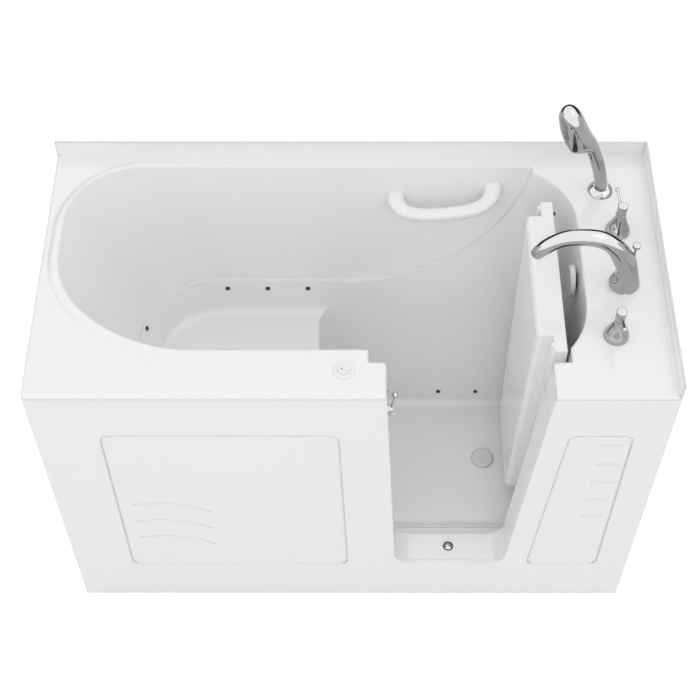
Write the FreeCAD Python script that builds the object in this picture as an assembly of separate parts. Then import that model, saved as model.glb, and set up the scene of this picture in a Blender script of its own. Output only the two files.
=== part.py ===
import FreeCAD, Part
import math
import os

# Walk-in air jetted bathtub: moulded tub with an inward swinging door, a deck faucet and an air system.
# Millimetres. +X runs to the faucet end, +Y to the back wall, +Z up. The origin is on the floor, mid-tub.

V = FreeCAD.Vector
UP = V(0, 0, 1)
BACK = V(0, 1, 0)
RIGHT = V(1, 0, 0)
ORIGIN = V(0, 0, 0)

# Overall size and sheet thicknesses
TUB_LENGTH = 1524.0
TUB_WIDTH = 762.0
DECK_Z = 1016.0
DECK_THICK = 12.0
DECK_ROUND = 7.0
CORNER_ROUND = 10.0
WALL = 8.0
APRON_THICK = 12.0
PANEL_FLOOR_GAP = 4.0
LIP_HEIGHT = 45.0
LIP_THICK = 5.0
LIP_FOOT_ROUND = 4.0
OVERRUN = 30.0
TOUCH = 0.001

LEFT_X = -TUB_LENGTH / 2
RIGHT_X = TUB_LENGTH / 2
FRONT_Y = -TUB_WIDTH / 2
BACK_Y = TUB_WIDTH / 2
UNDER_DECK_Z = DECK_Z - DECK_THICK
APRON_BACK_Y = FRONT_Y + APRON_THICK

# Basin levels
FLOOR_Z = 140.0
SEAT_Z = 520.0
LEDGE_Z = 625.0

# Basin plan, as distances from the tub's outer edges
RIM_LEFT_MARGIN = 48.0
RIM_BACK_MARGIN = 50.0
WALL_BACK_MARGIN = 51.0
FRONT_MARGIN = 136.0
FAUCET_DECK = 196.0
RIM_RADIUS = 200.0
RIM_OVAL_LENGTH = 336.0
RIM_OVAL_DEPTH = 294.0
CORNER_LAND = 4.0
RIM_LEFT_X = LEFT_X + RIM_LEFT_MARGIN
RIM_BACK_Y = BACK_Y - RIM_BACK_MARGIN
BASIN_FRONT_Y = FRONT_Y + FRONT_MARGIN
BASIN_MID_Y = (RIM_BACK_Y + BASIN_FRONT_Y) / 2
WELL_RIGHT_X = RIGHT_X - FAUCET_DECK

# Back wall of seat and footwell: one plane that leans out from floor to deck
WALL_BACK_Y = BACK_Y - WALL_BACK_MARGIN
BACK_WALL_LEAN = 140.0 / 876.0
WALL_RADIUS = 240.0
SEAT_RADIUS = 190.0
SEAT_ROUND = 34.0

# Backrest: leans from the seat's left end to the rim
BACKREST_RUN = 182.0
WALL_INSET_LEFT = 6.0
SEAT_LEFT_X = RIM_LEFT_X + BACKREST_RUN
SEAT_OVERLAP = 48.0

# Upper bowl above the armrest ledge, and the ramp on which the ledge rises to the deck
BOWL_LEDGE_STEP = 16.0
BOWL_RADIUS_LEDGE = 206.0
RAMP_START_X = 0.0
RAMP_RADIUS = 475.0

# Footwell
SEAT_FRONT_X = -88.0
RISER_LEAN = 18.0 / 380.0
RISER_ROUND = 45.0
WELL_ROUND = 24.0
WELL_RIGHT_RUN = 26.0
WELL_CORNER_FLOOR = 40.0
WELL_CORNER_DECK = 180.0
WELL_ARC_INSET = 52.0
WELL_ARC_FLOOR = 95.0
WELL_ARC_DECK = 140.0
WELL_ARC_X = WELL_RIGHT_X - WELL_ARC_INSET

# Raised headrest roll round the left end of the rim
ROLL_RADIUS = 24.0
ROLL_RISE = 12.0
ROLL_OFFSET = 10.0
ROLL_TURN_SPARE = 8.0
ROLL_END_SINK = 5.0
ROLL_RUN = 400.0

# Doorway: outer pocket that narrows to the sill, and the rebate that the door closes into
DOORWAY_TOP_WIDTH = 391.0
DOORWAY_LEFT_TAPER = 40.0
DOORWAY_RIGHT_TAPER = 52.0
SILL_Z = 190.0
DOORWAY_CORNER = 50.0
POCKET_DEPTH = 99.0
REBATE_STEP = 41.5
REBATE_SILL_STEP = 30.0
REBATE_CORNER = 90.0
JAMB_ROUND = 9.0
FRAME_WALL = 7.0

# Hinge line and door
HINGE_INSET_X = 59.0
HINGE_INSET_Y = 2.0
HINGE_TO_POCKET = 34.0
HINGE_TO_REBATE = 10.5
DOOR_GAP = 5.0
DOOR_HINGE_GAP = 6.0
DOOR_FLANGE = 30.0
DOOR_PLUG = 39.0
PLUG_GAP = 8.0
PLUG_ROUND = 14.0
DOOR_SEAL_THICK = 6.5
DOOR_SEAL_WIDTH = 16.0
DOOR_SEAL_INSET = 12.0
DOOR_OPEN_DEG = 90.0

HINGE_X = WELL_RIGHT_X - HINGE_INSET_X
HINGE_Y = BASIN_FRONT_Y - HINGE_INSET_Y
REBATE_Y = FRONT_Y + POCKET_DEPTH
POCKET_RIGHT_X = HINGE_X - HINGE_TO_POCKET
POCKET_LEFT_X = POCKET_RIGHT_X - DOORWAY_TOP_WIDTH
REBATE_RIGHT_X = HINGE_X + HINGE_TO_REBATE
REBATE_LEFT_X = POCKET_LEFT_X - REBATE_STEP
REBATE_SILL_Z = SILL_Z - REBATE_SILL_STEP
DOORWAY_HEIGHT = DECK_Z - SILL_Z

# Access panels in the apron, with moulded ribs
PANEL_LOW_Z = 183.0
PANEL_HIGH_Z = 848.0
PANEL_CORNER = 25.0
PANEL_THICK = 5.0
PANEL_SINK = 3.0
PANEL_GAP = 2.0
PANEL_LEDGE = 14.0
LEFT_PANEL_MARGIN = 159.0
LEFT_PANEL_TO_DOOR = 112.0
LEFT_PANEL_SLANT = 21.0
RIGHT_PANEL_TO_DOOR = 52.0
RIGHT_PANEL_SLANT = 39.0
RIGHT_PANEL_MARGIN = 84.0
RIB_HEIGHT = 2.5
WAVE_INSET = 38.0
WAVE_LENGTH = 199.0
WAVE_PEAK = 85.0
WAVE_CREST = 9.0
WAVE_FALL = 36.0
WAVE_BODY = 14.0
WAVE_LOW_Z = 337.0
WAVE_PITCH = 88.0
WAVE_COUNT = 3
DASH_LENGTH = 55.0
DASH_WIDTH = 7.0
DASH_END_FLAT = 0.2
DASH_MARGIN = 18.0
DASH_LOW_Z = 451.0
DASH_PITCH = 87.0
DASH_COUNT = 5
CLIP_WIDTH = 24.0
CLIP_THICK = 3.0
CLIP_HOOK = 6.0
CLIP_PLAY = 0.2

# Hinges
HINGE_COUNT = 3
HINGE_LOW_Z = 300.0
HINGE_PITCH = 300.0
HINGE_PIN_R = 3.0
PIN_PLAY = 0.05
KNUCKLE_R = 6.5
KNUCKLE_PLAY = 1.0
KNUCKLE_LENGTH = 26.0
KNUCKLE_SLIT = 0.5
LEAF_THICK = 2.5
LEAF_LENGTH = 34.0
ARM_LOW = 3.0
ARM_THICK = 4.0

# Latch on the left jamb: a lever that turns a hook pin into a curved slot in the door's edge
LATCH_Z = 885.0
LATCH_FROM_FRONT = 55.0
LATCH_BASE_R = 12.0
LATCH_BASE_THICK = 3.0
LATCH_HUB_R = 9.0
LATCH_HUB_THICK = 7.0
LATCH_ARM_THICK = 4.0
LATCH_HOOK_R = 24.0
LATCH_PIN_R = 3.0
LATCH_PIN_REACH = 9.0
LATCH_SLOT_PLAY = 1.2
LATCH_PIVOT_R = 3.5
LATCH_HEAD_R = 6.0
LATCH_HEAD_THICK = 2.5
LATCH_STEM_R = 2.3
LATCH_BALL_R = 5.5
LATCH_BALL_RISE = 60.0
LATCH_BALL_LEAN = 8.5
LATCH_PLAY = 0.3
PLUG_GAP_FREE = 10.0

# Small door and sill pieces
BUMPER_R = 5.0
BUMPER_LENGTH = 9.0
BUMPER_INSET = 20.0
BUMPER_DROP = 22.0
SILL_DOME_R = 12.0
SILL_DOME_HEIGHT = 6.0
SILL_DOME_FROM_FRONT = 53.0

# Grab bar on the back wall of the bowl
BAR_LEFT_INSET = 450.0
BAR_RIGHT_INSET = 195.0
BAR_LEFT_X = WELL_RIGHT_X - BAR_LEFT_INSET
BAR_RIGHT_X = WELL_RIGHT_X - BAR_RIGHT_INSET
BAR_LEFT_Z = 924.0
BAR_RIGHT_Z = 956.0
BAR_STANDOFF = 60.0
BAR_DROOP = 26.0
BAR_R = 17.0
BAR_FOOT_HALF = 25.0
BAR_EMBED = 14.0
BAR_SECTIONS = 13
BAR_SQUARE = 3.0
BAR_SECTION_SQUARE = 2.8
OVAL_POINTS = 12
OVAL_ROUND = 2.0

# Air button in the front deck
BUTTON_TO_DOORWAY = 57.0
BUTTON_FROM_FRONT = 76.0
BEZEL_R = 26.0
BEZEL_HEIGHT = 5.0
BEZEL_SLEEVE_R = 19.0
BEZEL_SLEEVE = 32.0
BEZEL_ROUND = 3.0
BUTTON_WELL = 16.0
BUTTON_WELL_SPARE = 1.0
BUTTON_R = 15.0
BUTTON_PLAY = 0.4
BUTTON_PROUD = 3.5
BUTTON_ROUND = 2.4
BUTTON_STEM_R = 5.0
BUTTON_STEM = 24.0
BUTTON_TRAVEL = 3.0
DECK_HOLE_PLAY = 0.4

# Faucet places: distances from the right edge and from the back edge
SHOWER_PLACE = (128.0, 127.0)
HOT_PLACE = (98.0, 261.0)
SPOUT_PLACE = (97.0, 433.0)
COLD_PLACE = (135.0, 585.0)

# Spout: (run to the left, rise above the deck, diameter) along its arch
SPOUT_ARCH = ((3.5, 0.0, 64.0), (3.0, 44.0, 56.0), (13.0, 86.0, 53.0), (44.0, 140.0, 46.0), (78.0, 168.0, 42.0),
              (127.0, 178.0, 39.0), (160.0, 175.0, 38.0), (194.0, 157.0, 36.0), (225.0, 122.0, 32.0),
              (229.0, 115.0, 28.5))
AERATOR_R = 12.5
AERATOR_LENGTH = 6.0
SHANK_R = 14.0
SHANK_LENGTH = 70.0
DIVERTER_RUN = -4.0
DIVERTER_RISE = 60.0
DIVERTER_STEM_R = 3.0
DIVERTER_STEM = 70.0
DIVERTER_KNOB_R = 9.5
DIVERTER_KNOB = 12.0
DIVERTER_TRAVEL = 10.0
DIVERTER_BORE_DEPTH = 34.0
RUN_PLAY = 0.05

# Valves and lever handles
BELL_PROFILE = ((31.0, 0.0), (30.0, 8.0), (24.0, 24.0), (16.5, 44.0), (13.0, 60.0))
COLLAR_R = 14.0
COLLAR_HEIGHT = 3.0
HUB_R = 12.5
HUB_HEIGHT = 32.0
HUB_DOME = 3.0
HUB_LIFT = 0.3
STEM_R = 5.0
STEM_SOCKET = 20.0
LEVER_R = 3.4
LEVER_REACH = 52.0
LEVER_RISE = 14.0
HOT_LEVER_DEG = 100.0
COLD_LEVER_DEG = -90.0
LEVER_BALL_R = 5.5
VALVE_R = 20.0
VALVE_HEIGHT = 70.0
TAIL_R = 8.0
TAIL_LENGTH = 230.0
NUT_R = 24.0
NUT_HEIGHT = 9.0
CROSSOVER_R = 8.0

# Hand shower: handle as (lean to the left, rise, radius), and an egg-shaped head as (radius, place along its axis)
WAND = ((0.0, 15.3, 16.0), (8.0, 54.0, 15.0), (23.0, 100.0, 15.0), (42.0, 142.0, 15.5), (68.0, 190.0, 17.0))
HEAD_PLACE = (91.0, 219.5)
HEAD_LEAN_DEG = 29.0
HEAD_PROFILE = ((13.0, -78.0), (22.0, -67.0), (27.0, -38.0), (27.0, -4.0), (23.0, 35.0), (15.0, 65.0), (4.0, 82.0))
SPRAY_OUT = 13.0
SPRAY_THICK = 4.0
HOLDER_PROFILE = ((32.0, 0.0), (30.0, 5.0), (23.0, 12.0), (19.0, 15.0))
WAND_STEM_R = 10.0
WAND_STEM = 48.0
WAND_PLAY = 0.3
HOLDER_SLEEVE_R = 14.0
HOLDER_SLEEVE = 44.0
DECK_HOLE_R = 14.5

# Overflow, drain and waste
OVERFLOW_Y = 28.0
OVERFLOW_DROP = 84.0
OVERFLOW_TUBE_R = 18.0
KNOB_R = 40.0
KNOB_THICK = 13.0
KNOB_ROUND = 5.0
KNOB_STANDOFF = 6.0
KNOB_SPINDLE_R = 8.0
KNOB_SOCKET = 8.0
ELBOW_OUT = 42.0
ELBOW_R = 26.0
DRAIN_INSET = 179.0
DRAIN_X = WELL_RIGHT_X - DRAIN_INSET
DRAIN_Y = -11.0
DRAIN_FLANGE_R = 34.0
DRAIN_FLANGE = 3.0
DRAIN_SHANK_R = 24.0
DRAIN_BORE_R = 18.0
DRAIN_SHANK = 44.0
DRAIN_SPIDER = 8.0
DRAIN_NUT_R = 36.0
DRAIN_NUT = 10.0
DRAIN_PLAY = 0.3
DRAIN_WINDOWS = 3
DRAIN_WINDOW_R = 5.0
DRAIN_WINDOW_PLACE = 11.0
STOPPER_R = 31.0
STOPPER_THICK = 4.0
STOPPER_DOME = 3.0
STOPPER_LIFT = 0.4
STOPPER_STEM_R = 4.0
STOPPER_STEM_SHORT = 1.0
WASTE_R = 26.0
WASTE_LOW_Z = 54.0
WASTE_PIPE_R = 15.0
WASTE_PIPE_Z = 76.0
WASTE_BEND = 60.0
OUTLET_R = 17.0
OUTLET_LENGTH = 40.0

# Air system
JET_R = 6.0
JET_FACE = 2.0
JET_BODY_R = 4.6
JET_PLAY = 0.2
JET_LENGTH = 36.0
SEAT_JET_Z = 600.0
SEAT_JET_FIRST = 188.0
SEAT_JET_LAST = 32.0
SEAT_JET_COUNT = 3
WELL_JET_Z = 185.0
WELL_JET_INSETS = (461.0, 304.0, 192.0)
BACKREST_JET_Z = 609.0
BACKREST_JET_DEG = 15.0
BACKREST_JET_LIFT = 0.1
MANIFOLD_R = 13.0
MANIFOLD_MARGIN = 40.0
TRAY_THICK = 4.0
TRAY_HALF_DEPTH = 120.0
BLOWER_Y = 125.0
BLOWER_RISER_INSET = 60.0
BLOWER_R = 78.0
BLOWER_LENGTH = 150.0
BLOWER_FOOT = 14.0
BLOWER_FOOT_HALF = 62.0
BLOWER_FOOT_RISE = 39.0
MOTOR_R = 58.0
MOTOR_LENGTH = 70.0
GLAND_R = 9.0
GLAND_LENGTH = 16.0
RISER_R = 16.0
RISER_BEND = 45.0

# Steel frame
TUBE = 40.0
RAIL_Z = 50.0
RAIL_INSET_Y = 51.0
RAIL_END_GAP = 22.0
UPRIGHT_INSET_X = 62.0
RIGHT_BAR_INSET = 42.0
SEAT_BAR_LEFT = 80.0
SEAT_BAR_RIGHT = 142.0
WELL_BAR_LEFT = 208.0
WELL_BAR_TO_DRAIN = 97.0
CROSSBAR_X = (LEFT_X + UPRIGHT_INSET_X, SEAT_LEFT_X + SEAT_BAR_LEFT, SEAT_FRONT_X - SEAT_BAR_RIGHT,
              SEAT_FRONT_X + WELL_BAR_LEFT, DRAIN_X - WELL_BAR_TO_DRAIN, RIGHT_X - RIGHT_BAR_INSET)
FOOT_INSET = 90.0
FOOT_R = 26.0
FOOT_HEIGHT = 12.0
FOOT_STUD_R = 8.0
FOOT_NUT_R = 15.0
FOOT_NUT = 12.0
POST = 30.0
WELL_POST_Y = 100.0
SEAT_POST_Y = 85.0
END_PANEL_THICK = 10.0


# Shared helpers


def at_z(z):
    return lambda u, v: V(u, v, z)


def at_y(y):
    return lambda u, v: V(u, y, v)


def rounded_wire(corners, place):
    """Closed wire through (u, v, radius) corners, with each corner rounded by its radius."""
    edges = []
    ends = []
    for i, (u, v, radius) in enumerate(corners):
        here = V(u, v, 0)
        before = V(*corners[i - 1][:2], 0) - here
        after = V(*corners[(i + 1) % len(corners)][:2], 0) - here
        before.normalize()
        after.normalize()
        half = before.getAngle(after) / 2
        reach = radius / math.tan(half)
        middle = before + after
        if radius > 0:
            middle.normalize()
        ends.append((here + before * reach, here + middle * (radius / math.sin(half) - radius) if radius
                     else here, here + after * reach))
    for i, (start, middle, end) in enumerate(ends):
        if corners[i][2] > 0:
            points = [place(p.x, p.y) for p in (start, middle, end)]
            edges.append(Part.Arc(*points).toShape())
        following = ends[(i + 1) % len(ends)][0]
        edges.append(Part.makeLine(place(end.x, end.y), place(following.x, following.y)))
    return Part.Wire(edges)


def plate(wire, along):
    return Part.Face(wire).extrude(along)


def box(low, high):
    return Part.makeBox(high[0] - low[0], high[1] - low[1], high[2] - low[2], V(*low))


def rod(radius, length, base, along=UP):
    return Part.makeCylinder(radius, length, base, along)


def pipe(outer, inner, length, base, along=UP):
    return rod(outer, length, base, along).cut(rod(inner, length, base, along))


def join(shapes):
    return shapes[0].multiFuse(shapes[1:]).removeSplitter()


def near(a, b):
    return abs(a - b) < TOUCH


# Tub shell: the same basin forms are made twice, once as the hollow and once grown by the wall


def oval_corner(left, front, reach_x, reach_y):
    """Points of a quarter oval of two tangent arcs, from the left side round to the front."""
    spread = (reach_x - reach_y) / (math.sqrt(2) - 1)
    small = reach_x - spread * math.sqrt(0.5)
    large = small + spread
    small_centre = V(left + small, front + reach_y, 0)
    large_centre = V(left + reach_x, front + large, 0)
    points = []
    for step in range(5):
        turn = step * math.pi / 8
        centre, radius = (small_centre, small) if step < 2 else (large_centre, large)
        points.append(centre - V(math.cos(turn), math.sin(turn), 0) * radius)
    return points


def left_end(left, right, front, back, turn, oval_reach, z):
    """Edges from the back side's right end, round the left end, to the front side's right end."""
    place = at_z(z)
    inset = turn * (1 - math.sqrt(0.5))
    start, first, joint, second, end = [place(p.x, p.y) for p in oval_corner(left, front, *oval_reach)]
    back_start = place(left + turn, back)
    back_end = place(left, back - turn)
    return [Part.makeLine(place(right, back), back_start),
            Part.Arc(back_start, place(left + inset, back - inset), back_end).toShape(),
            Part.makeLine(back_end, start), Part.Arc(start, first, joint).toShape(),
            Part.Arc(joint, second, end).toShape(), Part.makeLine(end, place(right, front))]


def seat_plan(z, grow):
    """Left, front and back sides of the seat tub at a height, and the radius of its left corners."""
    rise = (z - SEAT_Z) / (DECK_Z - SEAT_Z)
    back = WALL_BACK_Y - BACK_WALL_LEAN * (DECK_Z - z) + grow
    front = 2 * BASIN_MID_Y - back
    left = SEAT_LEFT_X - rise * (BACKREST_RUN - WALL_INSET_LEFT) - grow
    radius = min(SEAT_RADIUS + rise * (WALL_RADIUS - SEAT_RADIUS) + grow, (back - front) / 2 - CORNER_LAND)
    return left, front, back, radius


def seat_wire(z, grow):
    """Plan of the seat tub at a height: straight sides, rounded left end."""
    left, front, back, radius = seat_plan(z, grow)
    right = SEAT_FRONT_X + SEAT_OVERLAP
    return rounded_wire([(right, front, 0), (right, back, 0), (left, back, radius), (left, front, radius)], at_z(z))


def bowl_wire(z, grow):
    """Plan of the wider bowl above the armrest ledge: round back corner, long oval front corner."""
    rise = (z - LEDGE_Z) / (DECK_Z - LEDGE_Z)
    ledge_back = WALL_BACK_Y - BACK_WALL_LEAN * (DECK_Z - LEDGE_Z) + BOWL_LEDGE_STEP
    back = ledge_back + rise * (RIM_BACK_Y - ledge_back) + grow
    front = 2 * BASIN_MID_Y - back
    left = RIM_LEFT_X + BACKREST_RUN * (DECK_Z - z) / (DECK_Z - SEAT_Z) - grow
    limit = (back - front) / 2 - CORNER_LAND
    turn, reach_x, reach_y = [BOWL_RADIUS_LEDGE + rise * (at_deck - BOWL_RADIUS_LEDGE) + grow
                              for at_deck in (RIM_RADIUS, RIM_OVAL_LENGTH, RIM_OVAL_DEPTH)]
    right = RAMP_START_X + RAMP_RADIUS + OVERRUN
    end = left_end(left, right, front, back, min(turn, limit), (reach_x, min(reach_y, limit)), z)
    return Part.Wire(end + [Part.makeLine(V(right, front, z), V(right, back, z))])


def well_wire(z, grow):
    """Plan of the footwell: straight front, bowed right end by the hinge, rounded corners."""
    rise = (z - FLOOR_Z) / (DECK_Z - FLOOR_Z)
    front = BASIN_FRONT_Y - grow
    back = WALL_BACK_Y - BACK_WALL_LEAN * (DECK_Z - z) + grow
    left = SEAT_FRONT_X - RISER_LEAN * (z - SEAT_Z) - grow
    right = WELL_RIGHT_X - WELL_RIGHT_RUN * (1 - rise) + grow
    corner = WELL_CORNER_FLOOR + rise * (WELL_CORNER_DECK - WELL_CORNER_FLOOR) + grow
    small = RISER_ROUND + grow
    bow_start = V(WELL_ARC_X + grow, front, z)
    bow_end = V(right, BASIN_FRONT_Y + WELL_ARC_FLOOR + rise * (WELL_ARC_DECK - WELL_ARC_FLOOR), z)
    run = bow_end.x - bow_start.x
    height = bow_end.y - bow_start.y
    bow_radius = (run ** 2 + height ** 2) / (2 * run)
    half = math.asin(height / bow_radius) / 2
    bow_mid = V(right - bow_radius * (1 - math.cos(half)), bow_end.y - bow_radius * math.sin(half), z)
    diagonal = 1 - math.sqrt(0.5)
    rounds = [((right, back - corner), (right - corner * diagonal, back - corner * diagonal), (right - corner, back)),
              ((left + small, back), (left + small * diagonal, back - small * diagonal), (left, back - small)),
              ((left, front + small), (left + small * diagonal, front + small * diagonal), (left + small, front))]
    edges = [Part.Arc(bow_start, bow_mid, bow_end).toShape()]
    last = bow_end
    for start, middle, end in rounds:
        edges.append(Part.makeLine(last, V(*start, z)))
        edges.append(Part.Arc(V(*start, z), V(*middle, z), V(*end, z)).toShape())
        last = V(*end, z)
    edges.append(Part.makeLine(last, bow_start))
    return Part.Wire(edges)


def tub_form(wire_at, low, high, grow, bottom_round):
    """Loft from a basin level up past a higher one, with its bottom edge rounded."""
    form = Part.makeLoft([wire_at(low - grow, grow), wire_at(high + OVERRUN, grow)], True, True)
    if bottom_round:
        edges = [e for e in form.Edges if all(near(p.Z, low - grow) for p in e.Vertexes)]
        form = form.makeFillet(bottom_round + grow, edges)
    return form


def ramp_space(grow):
    """Space above the armrest ledge: level to the seat front, then up an arc to the deck."""
    centre_z = LEDGE_Z + RAMP_RADIUS
    radius = RAMP_RADIUS + grow
    top = DECK_Z + OVERRUN
    far = LEFT_X - OVERRUN
    base_z = LEDGE_Z - grow
    place = at_y(FRONT_Y)
    turn = math.acos((centre_z - top) / radius)
    arc = Part.Arc(place(RAMP_START_X, base_z),
                   place(RAMP_START_X + radius * math.sin(turn / 2), centre_z - radius * math.cos(turn / 2)),
                   place(RAMP_START_X + radius * math.sin(turn), top)).toShape()
    lines = [Part.makeLine(place(far, base_z), place(RAMP_START_X, base_z)), arc,
             Part.makeLine(place(RAMP_START_X + radius * math.sin(turn), top), place(far, top)),
             Part.makeLine(place(far, top), place(far, base_z))]
    return plate(Part.Wire(lines), BACK * TUB_WIDTH)


def basin(grow):
    seat = tub_form(seat_wire, SEAT_Z, LEDGE_Z, grow, SEAT_ROUND)
    well = tub_form(well_wire, FLOOR_Z, DECK_Z, grow, WELL_ROUND)
    bowl = tub_form(bowl_wire, LEDGE_Z, DECK_Z, grow, 0).common(ramp_space(grow))
    return seat.fuse(well).fuse(bowl)


def headrest_roll():
    """Raised bead round the left end of the rim, tilted so that it sinks into the deck towards the door."""
    left = RIM_LEFT_X - ROLL_OFFSET
    back = RIM_BACK_Y + ROLL_OFFSET
    front = 2 * BASIN_MID_Y - back
    limit = (back - front) / 2 - CORNER_LAND
    grow = ROLL_OFFSET + ROLL_TURN_SPARE
    oval_reach = (RIM_OVAL_LENGTH + grow, min(RIM_OVAL_DEPTH + grow, limit))
    right = RIM_LEFT_X + ROLL_RUN
    place = at_z(0)
    path = Part.Wire(left_end(left, right, front, back, min(RIM_RADIUS + grow, limit), oval_reach, 0))
    section = Part.Wire(Part.makeCircle(ROLL_RADIUS, place(right, back), RIGHT))
    roll = path.makePipeShell([section], True, False)
    tilt = math.degrees(math.atan2(ROLL_RISE + ROLL_END_SINK, right - left))
    roll.rotate(place(left, 0), BACK, tilt)
    roll.translate(UP * (DECK_Z + ROLL_RISE - ROLL_RADIUS))
    above = box((LEFT_X, FRONT_Y, DECK_Z - DECK_THICK / 2), (RIGHT_X, BACK_Y, DECK_Z + ROLL_RADIUS))
    return roll.common(above)


def doorway_wire(y, left, right, right_taper, sill, corner, top):
    """Upright U in the doorway's plane; left and right are given at deck height."""
    left_slope = DOORWAY_LEFT_TAPER / DOORWAY_HEIGHT
    right_slope = right_taper / DOORWAY_HEIGHT
    corners = [(left + left_slope * (DECK_Z - top), top, 0), (left + left_slope * (DECK_Z - sill), sill, corner),
               (right - right_slope * (DECK_Z - sill), sill, corner), (right - right_slope * (DECK_Z - top), top, 0)]
    return rounded_wire(corners, at_y(y))


def pocket_wire(y, grow=0.0, top=DECK_Z + OVERRUN):
    return doorway_wire(y, POCKET_LEFT_X - grow, POCKET_RIGHT_X + grow, DOORWAY_RIGHT_TAPER, SILL_Z - grow,
                        DOORWAY_CORNER + grow, top)


def rebate_wire(y, grow=0.0, top=DECK_Z + OVERRUN):
    return doorway_wire(y, REBATE_LEFT_X - grow, REBATE_RIGHT_X + grow, 0, REBATE_SILL_Z - grow,
                        REBATE_CORNER + grow, top)


def doorway_space():
    pocket = plate(pocket_wire(FRONT_Y - OVERRUN), BACK * (REBATE_Y - FRONT_Y + OVERRUN + FRAME_WALL))
    rebate = plate(rebate_wire(REBATE_Y), BACK * (BASIN_FRONT_Y - REBATE_Y + FRAME_WALL))
    space = pocket.fuse(rebate).removeSplitter()
    outline = pocket_wire(REBATE_Y)
    jamb = [e for e in space.Edges if all(near(p.Y, REBATE_Y) for p in e.Vertexes)
            and near(outline.distToShape(Part.Vertex(e.CenterOfMass))[0], 0)]
    return space.makeFillet(JAMB_ROUND, jamb)


def foot_cove(start, along, across):
    """Concave strip that fills the corner between the deck and the tile lip."""
    corner = start
    out = corner + across * LIP_FOOT_ROUND
    up = corner + UP * LIP_FOOT_ROUND
    bulge = corner + (across + UP) * (LIP_FOOT_ROUND * (1 - math.sqrt(0.5)))
    edges = [Part.makeLine(corner, out), Part.Arc(out, bulge, up).toShape(), Part.makeLine(up, corner)]
    return plate(Part.Wire(edges), along)


def deck_with_lip():
    deck = box((LEFT_X, FRONT_Y, UNDER_DECK_Z), (RIGHT_X, BACK_Y, DECK_Z))
    corner = [e for e in deck.Edges if all(near(p.X, LEFT_X) and near(p.Y, FRONT_Y) for p in e.Vertexes)]
    deck = deck.makeFillet(CORNER_ROUND, corner)
    top = [e for e in deck.Edges if all(near(p.Z, DECK_Z) for p in e.Vertexes)
           and (e.BoundBox.YMax < FRONT_Y + 2 * CORNER_ROUND or e.BoundBox.XMax < LEFT_X + 2 * CORNER_ROUND)]
    deck = deck.makeFillet(DECK_ROUND, top)
    inner_y = BACK_Y - LIP_THICK
    inner_x = RIGHT_X - LIP_THICK
    lip_top = DECK_Z + LIP_HEIGHT
    back_lip = box((LEFT_X, inner_y, UNDER_DECK_Z), (RIGHT_X, BACK_Y, lip_top))
    right_lip = box((inner_x, FRONT_Y, UNDER_DECK_Z), (RIGHT_X, BACK_Y, lip_top))
    back_cove = foot_cove(V(inner_x, inner_y, DECK_Z), RIGHT * (LEFT_X + DECK_ROUND - inner_x), -BACK)
    right_cove = foot_cove(V(inner_x, inner_y, DECK_Z), BACK * (FRONT_Y + DECK_ROUND - inner_y), -RIGHT)
    return join([deck, back_lip, right_lip, back_cove, right_cove])


def tub_shell():
    below = box((LEFT_X, FRONT_Y, 0), (RIGHT_X, BACK_Y, DECK_Z - DECK_THICK / 2))
    shell = deck_with_lip().fuse(basin(WALL).common(below)).fuse(headrest_roll()).cut(basin(0)).removeSplitter()
    return shell.cut(doorway_space()).cut(fitting_holes())


def fitting_holes():
    """Holes in the deck, the wall and the floor for the faucet, button, overflow, drain and jets."""
    low = UP * -DECK_THICK
    holes = [rod(DECK_HOLE_R, DECK_THICK, deck_point(place) + low)
             for place in (SHOWER_PLACE, HOT_PLACE, SPOUT_PLACE, COLD_PLACE)]
    holes.append(rod(BEZEL_SLEEVE_R + DECK_HOLE_PLAY, DECK_THICK, button_place() + low))
    holes.append(rod(OVERFLOW_TUBE_R + DECK_HOLE_PLAY, 4 * WALL, overflow_centre() - RIGHT * (2 * WALL), RIGHT))
    holes.append(rod(DRAIN_SHANK_R + DRAIN_PLAY, 3 * WALL, V(DRAIN_X, DRAIN_Y, FLOOR_Z - 2 * WALL)))
    return Part.makeCompound(holes + jet_holes())


def panel_corners(low_left, high_left, low_right, high_right, grow):
    radius = PANEL_CORNER + grow
    return [(low_left - grow, PANEL_LOW_Z - grow, radius), (low_right + grow, PANEL_LOW_Z - grow, radius),
            (high_right + grow, PANEL_HIGH_Z + grow, radius), (high_left - grow, PANEL_HIGH_Z + grow, radius)]


def left_panel_wire(y, grow=0.0):
    left = LEFT_X + LEFT_PANEL_MARGIN
    right = POCKET_LEFT_X - LEFT_PANEL_TO_DOOR
    return rounded_wire(panel_corners(left, left, right + LEFT_PANEL_SLANT, right, grow), at_y(y))


def right_panel_wire(y, grow=0.0):
    left = POCKET_RIGHT_X + RIGHT_PANEL_TO_DOOR
    right = RIGHT_X - RIGHT_PANEL_MARGIN
    return rounded_wire(panel_corners(left - RIGHT_PANEL_SLANT, left, right, right, grow), at_y(y))


def front_apron():
    apron = box((LEFT_X, FRONT_Y, PANEL_FLOOR_GAP), (RIGHT_X, APRON_BACK_Y, UNDER_DECK_Z))
    corner = [e for e in apron.Edges if all(near(p.X, LEFT_X) and near(p.Y, FRONT_Y) for p in e.Vertexes)]
    apron = apron.makeFillet(CORNER_ROUND, corner)
    apron = apron.cut(doorway_space())
    for wire in (left_panel_wire, right_panel_wire):
        apron = apron.cut(plate(wire(FRONT_Y, PANEL_GAP), BACK * (PANEL_SINK + PANEL_THICK)))
        apron = apron.cut(plate(wire(FRONT_Y, -PANEL_LEDGE), BACK * APRON_THICK))
    return apron


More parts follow.
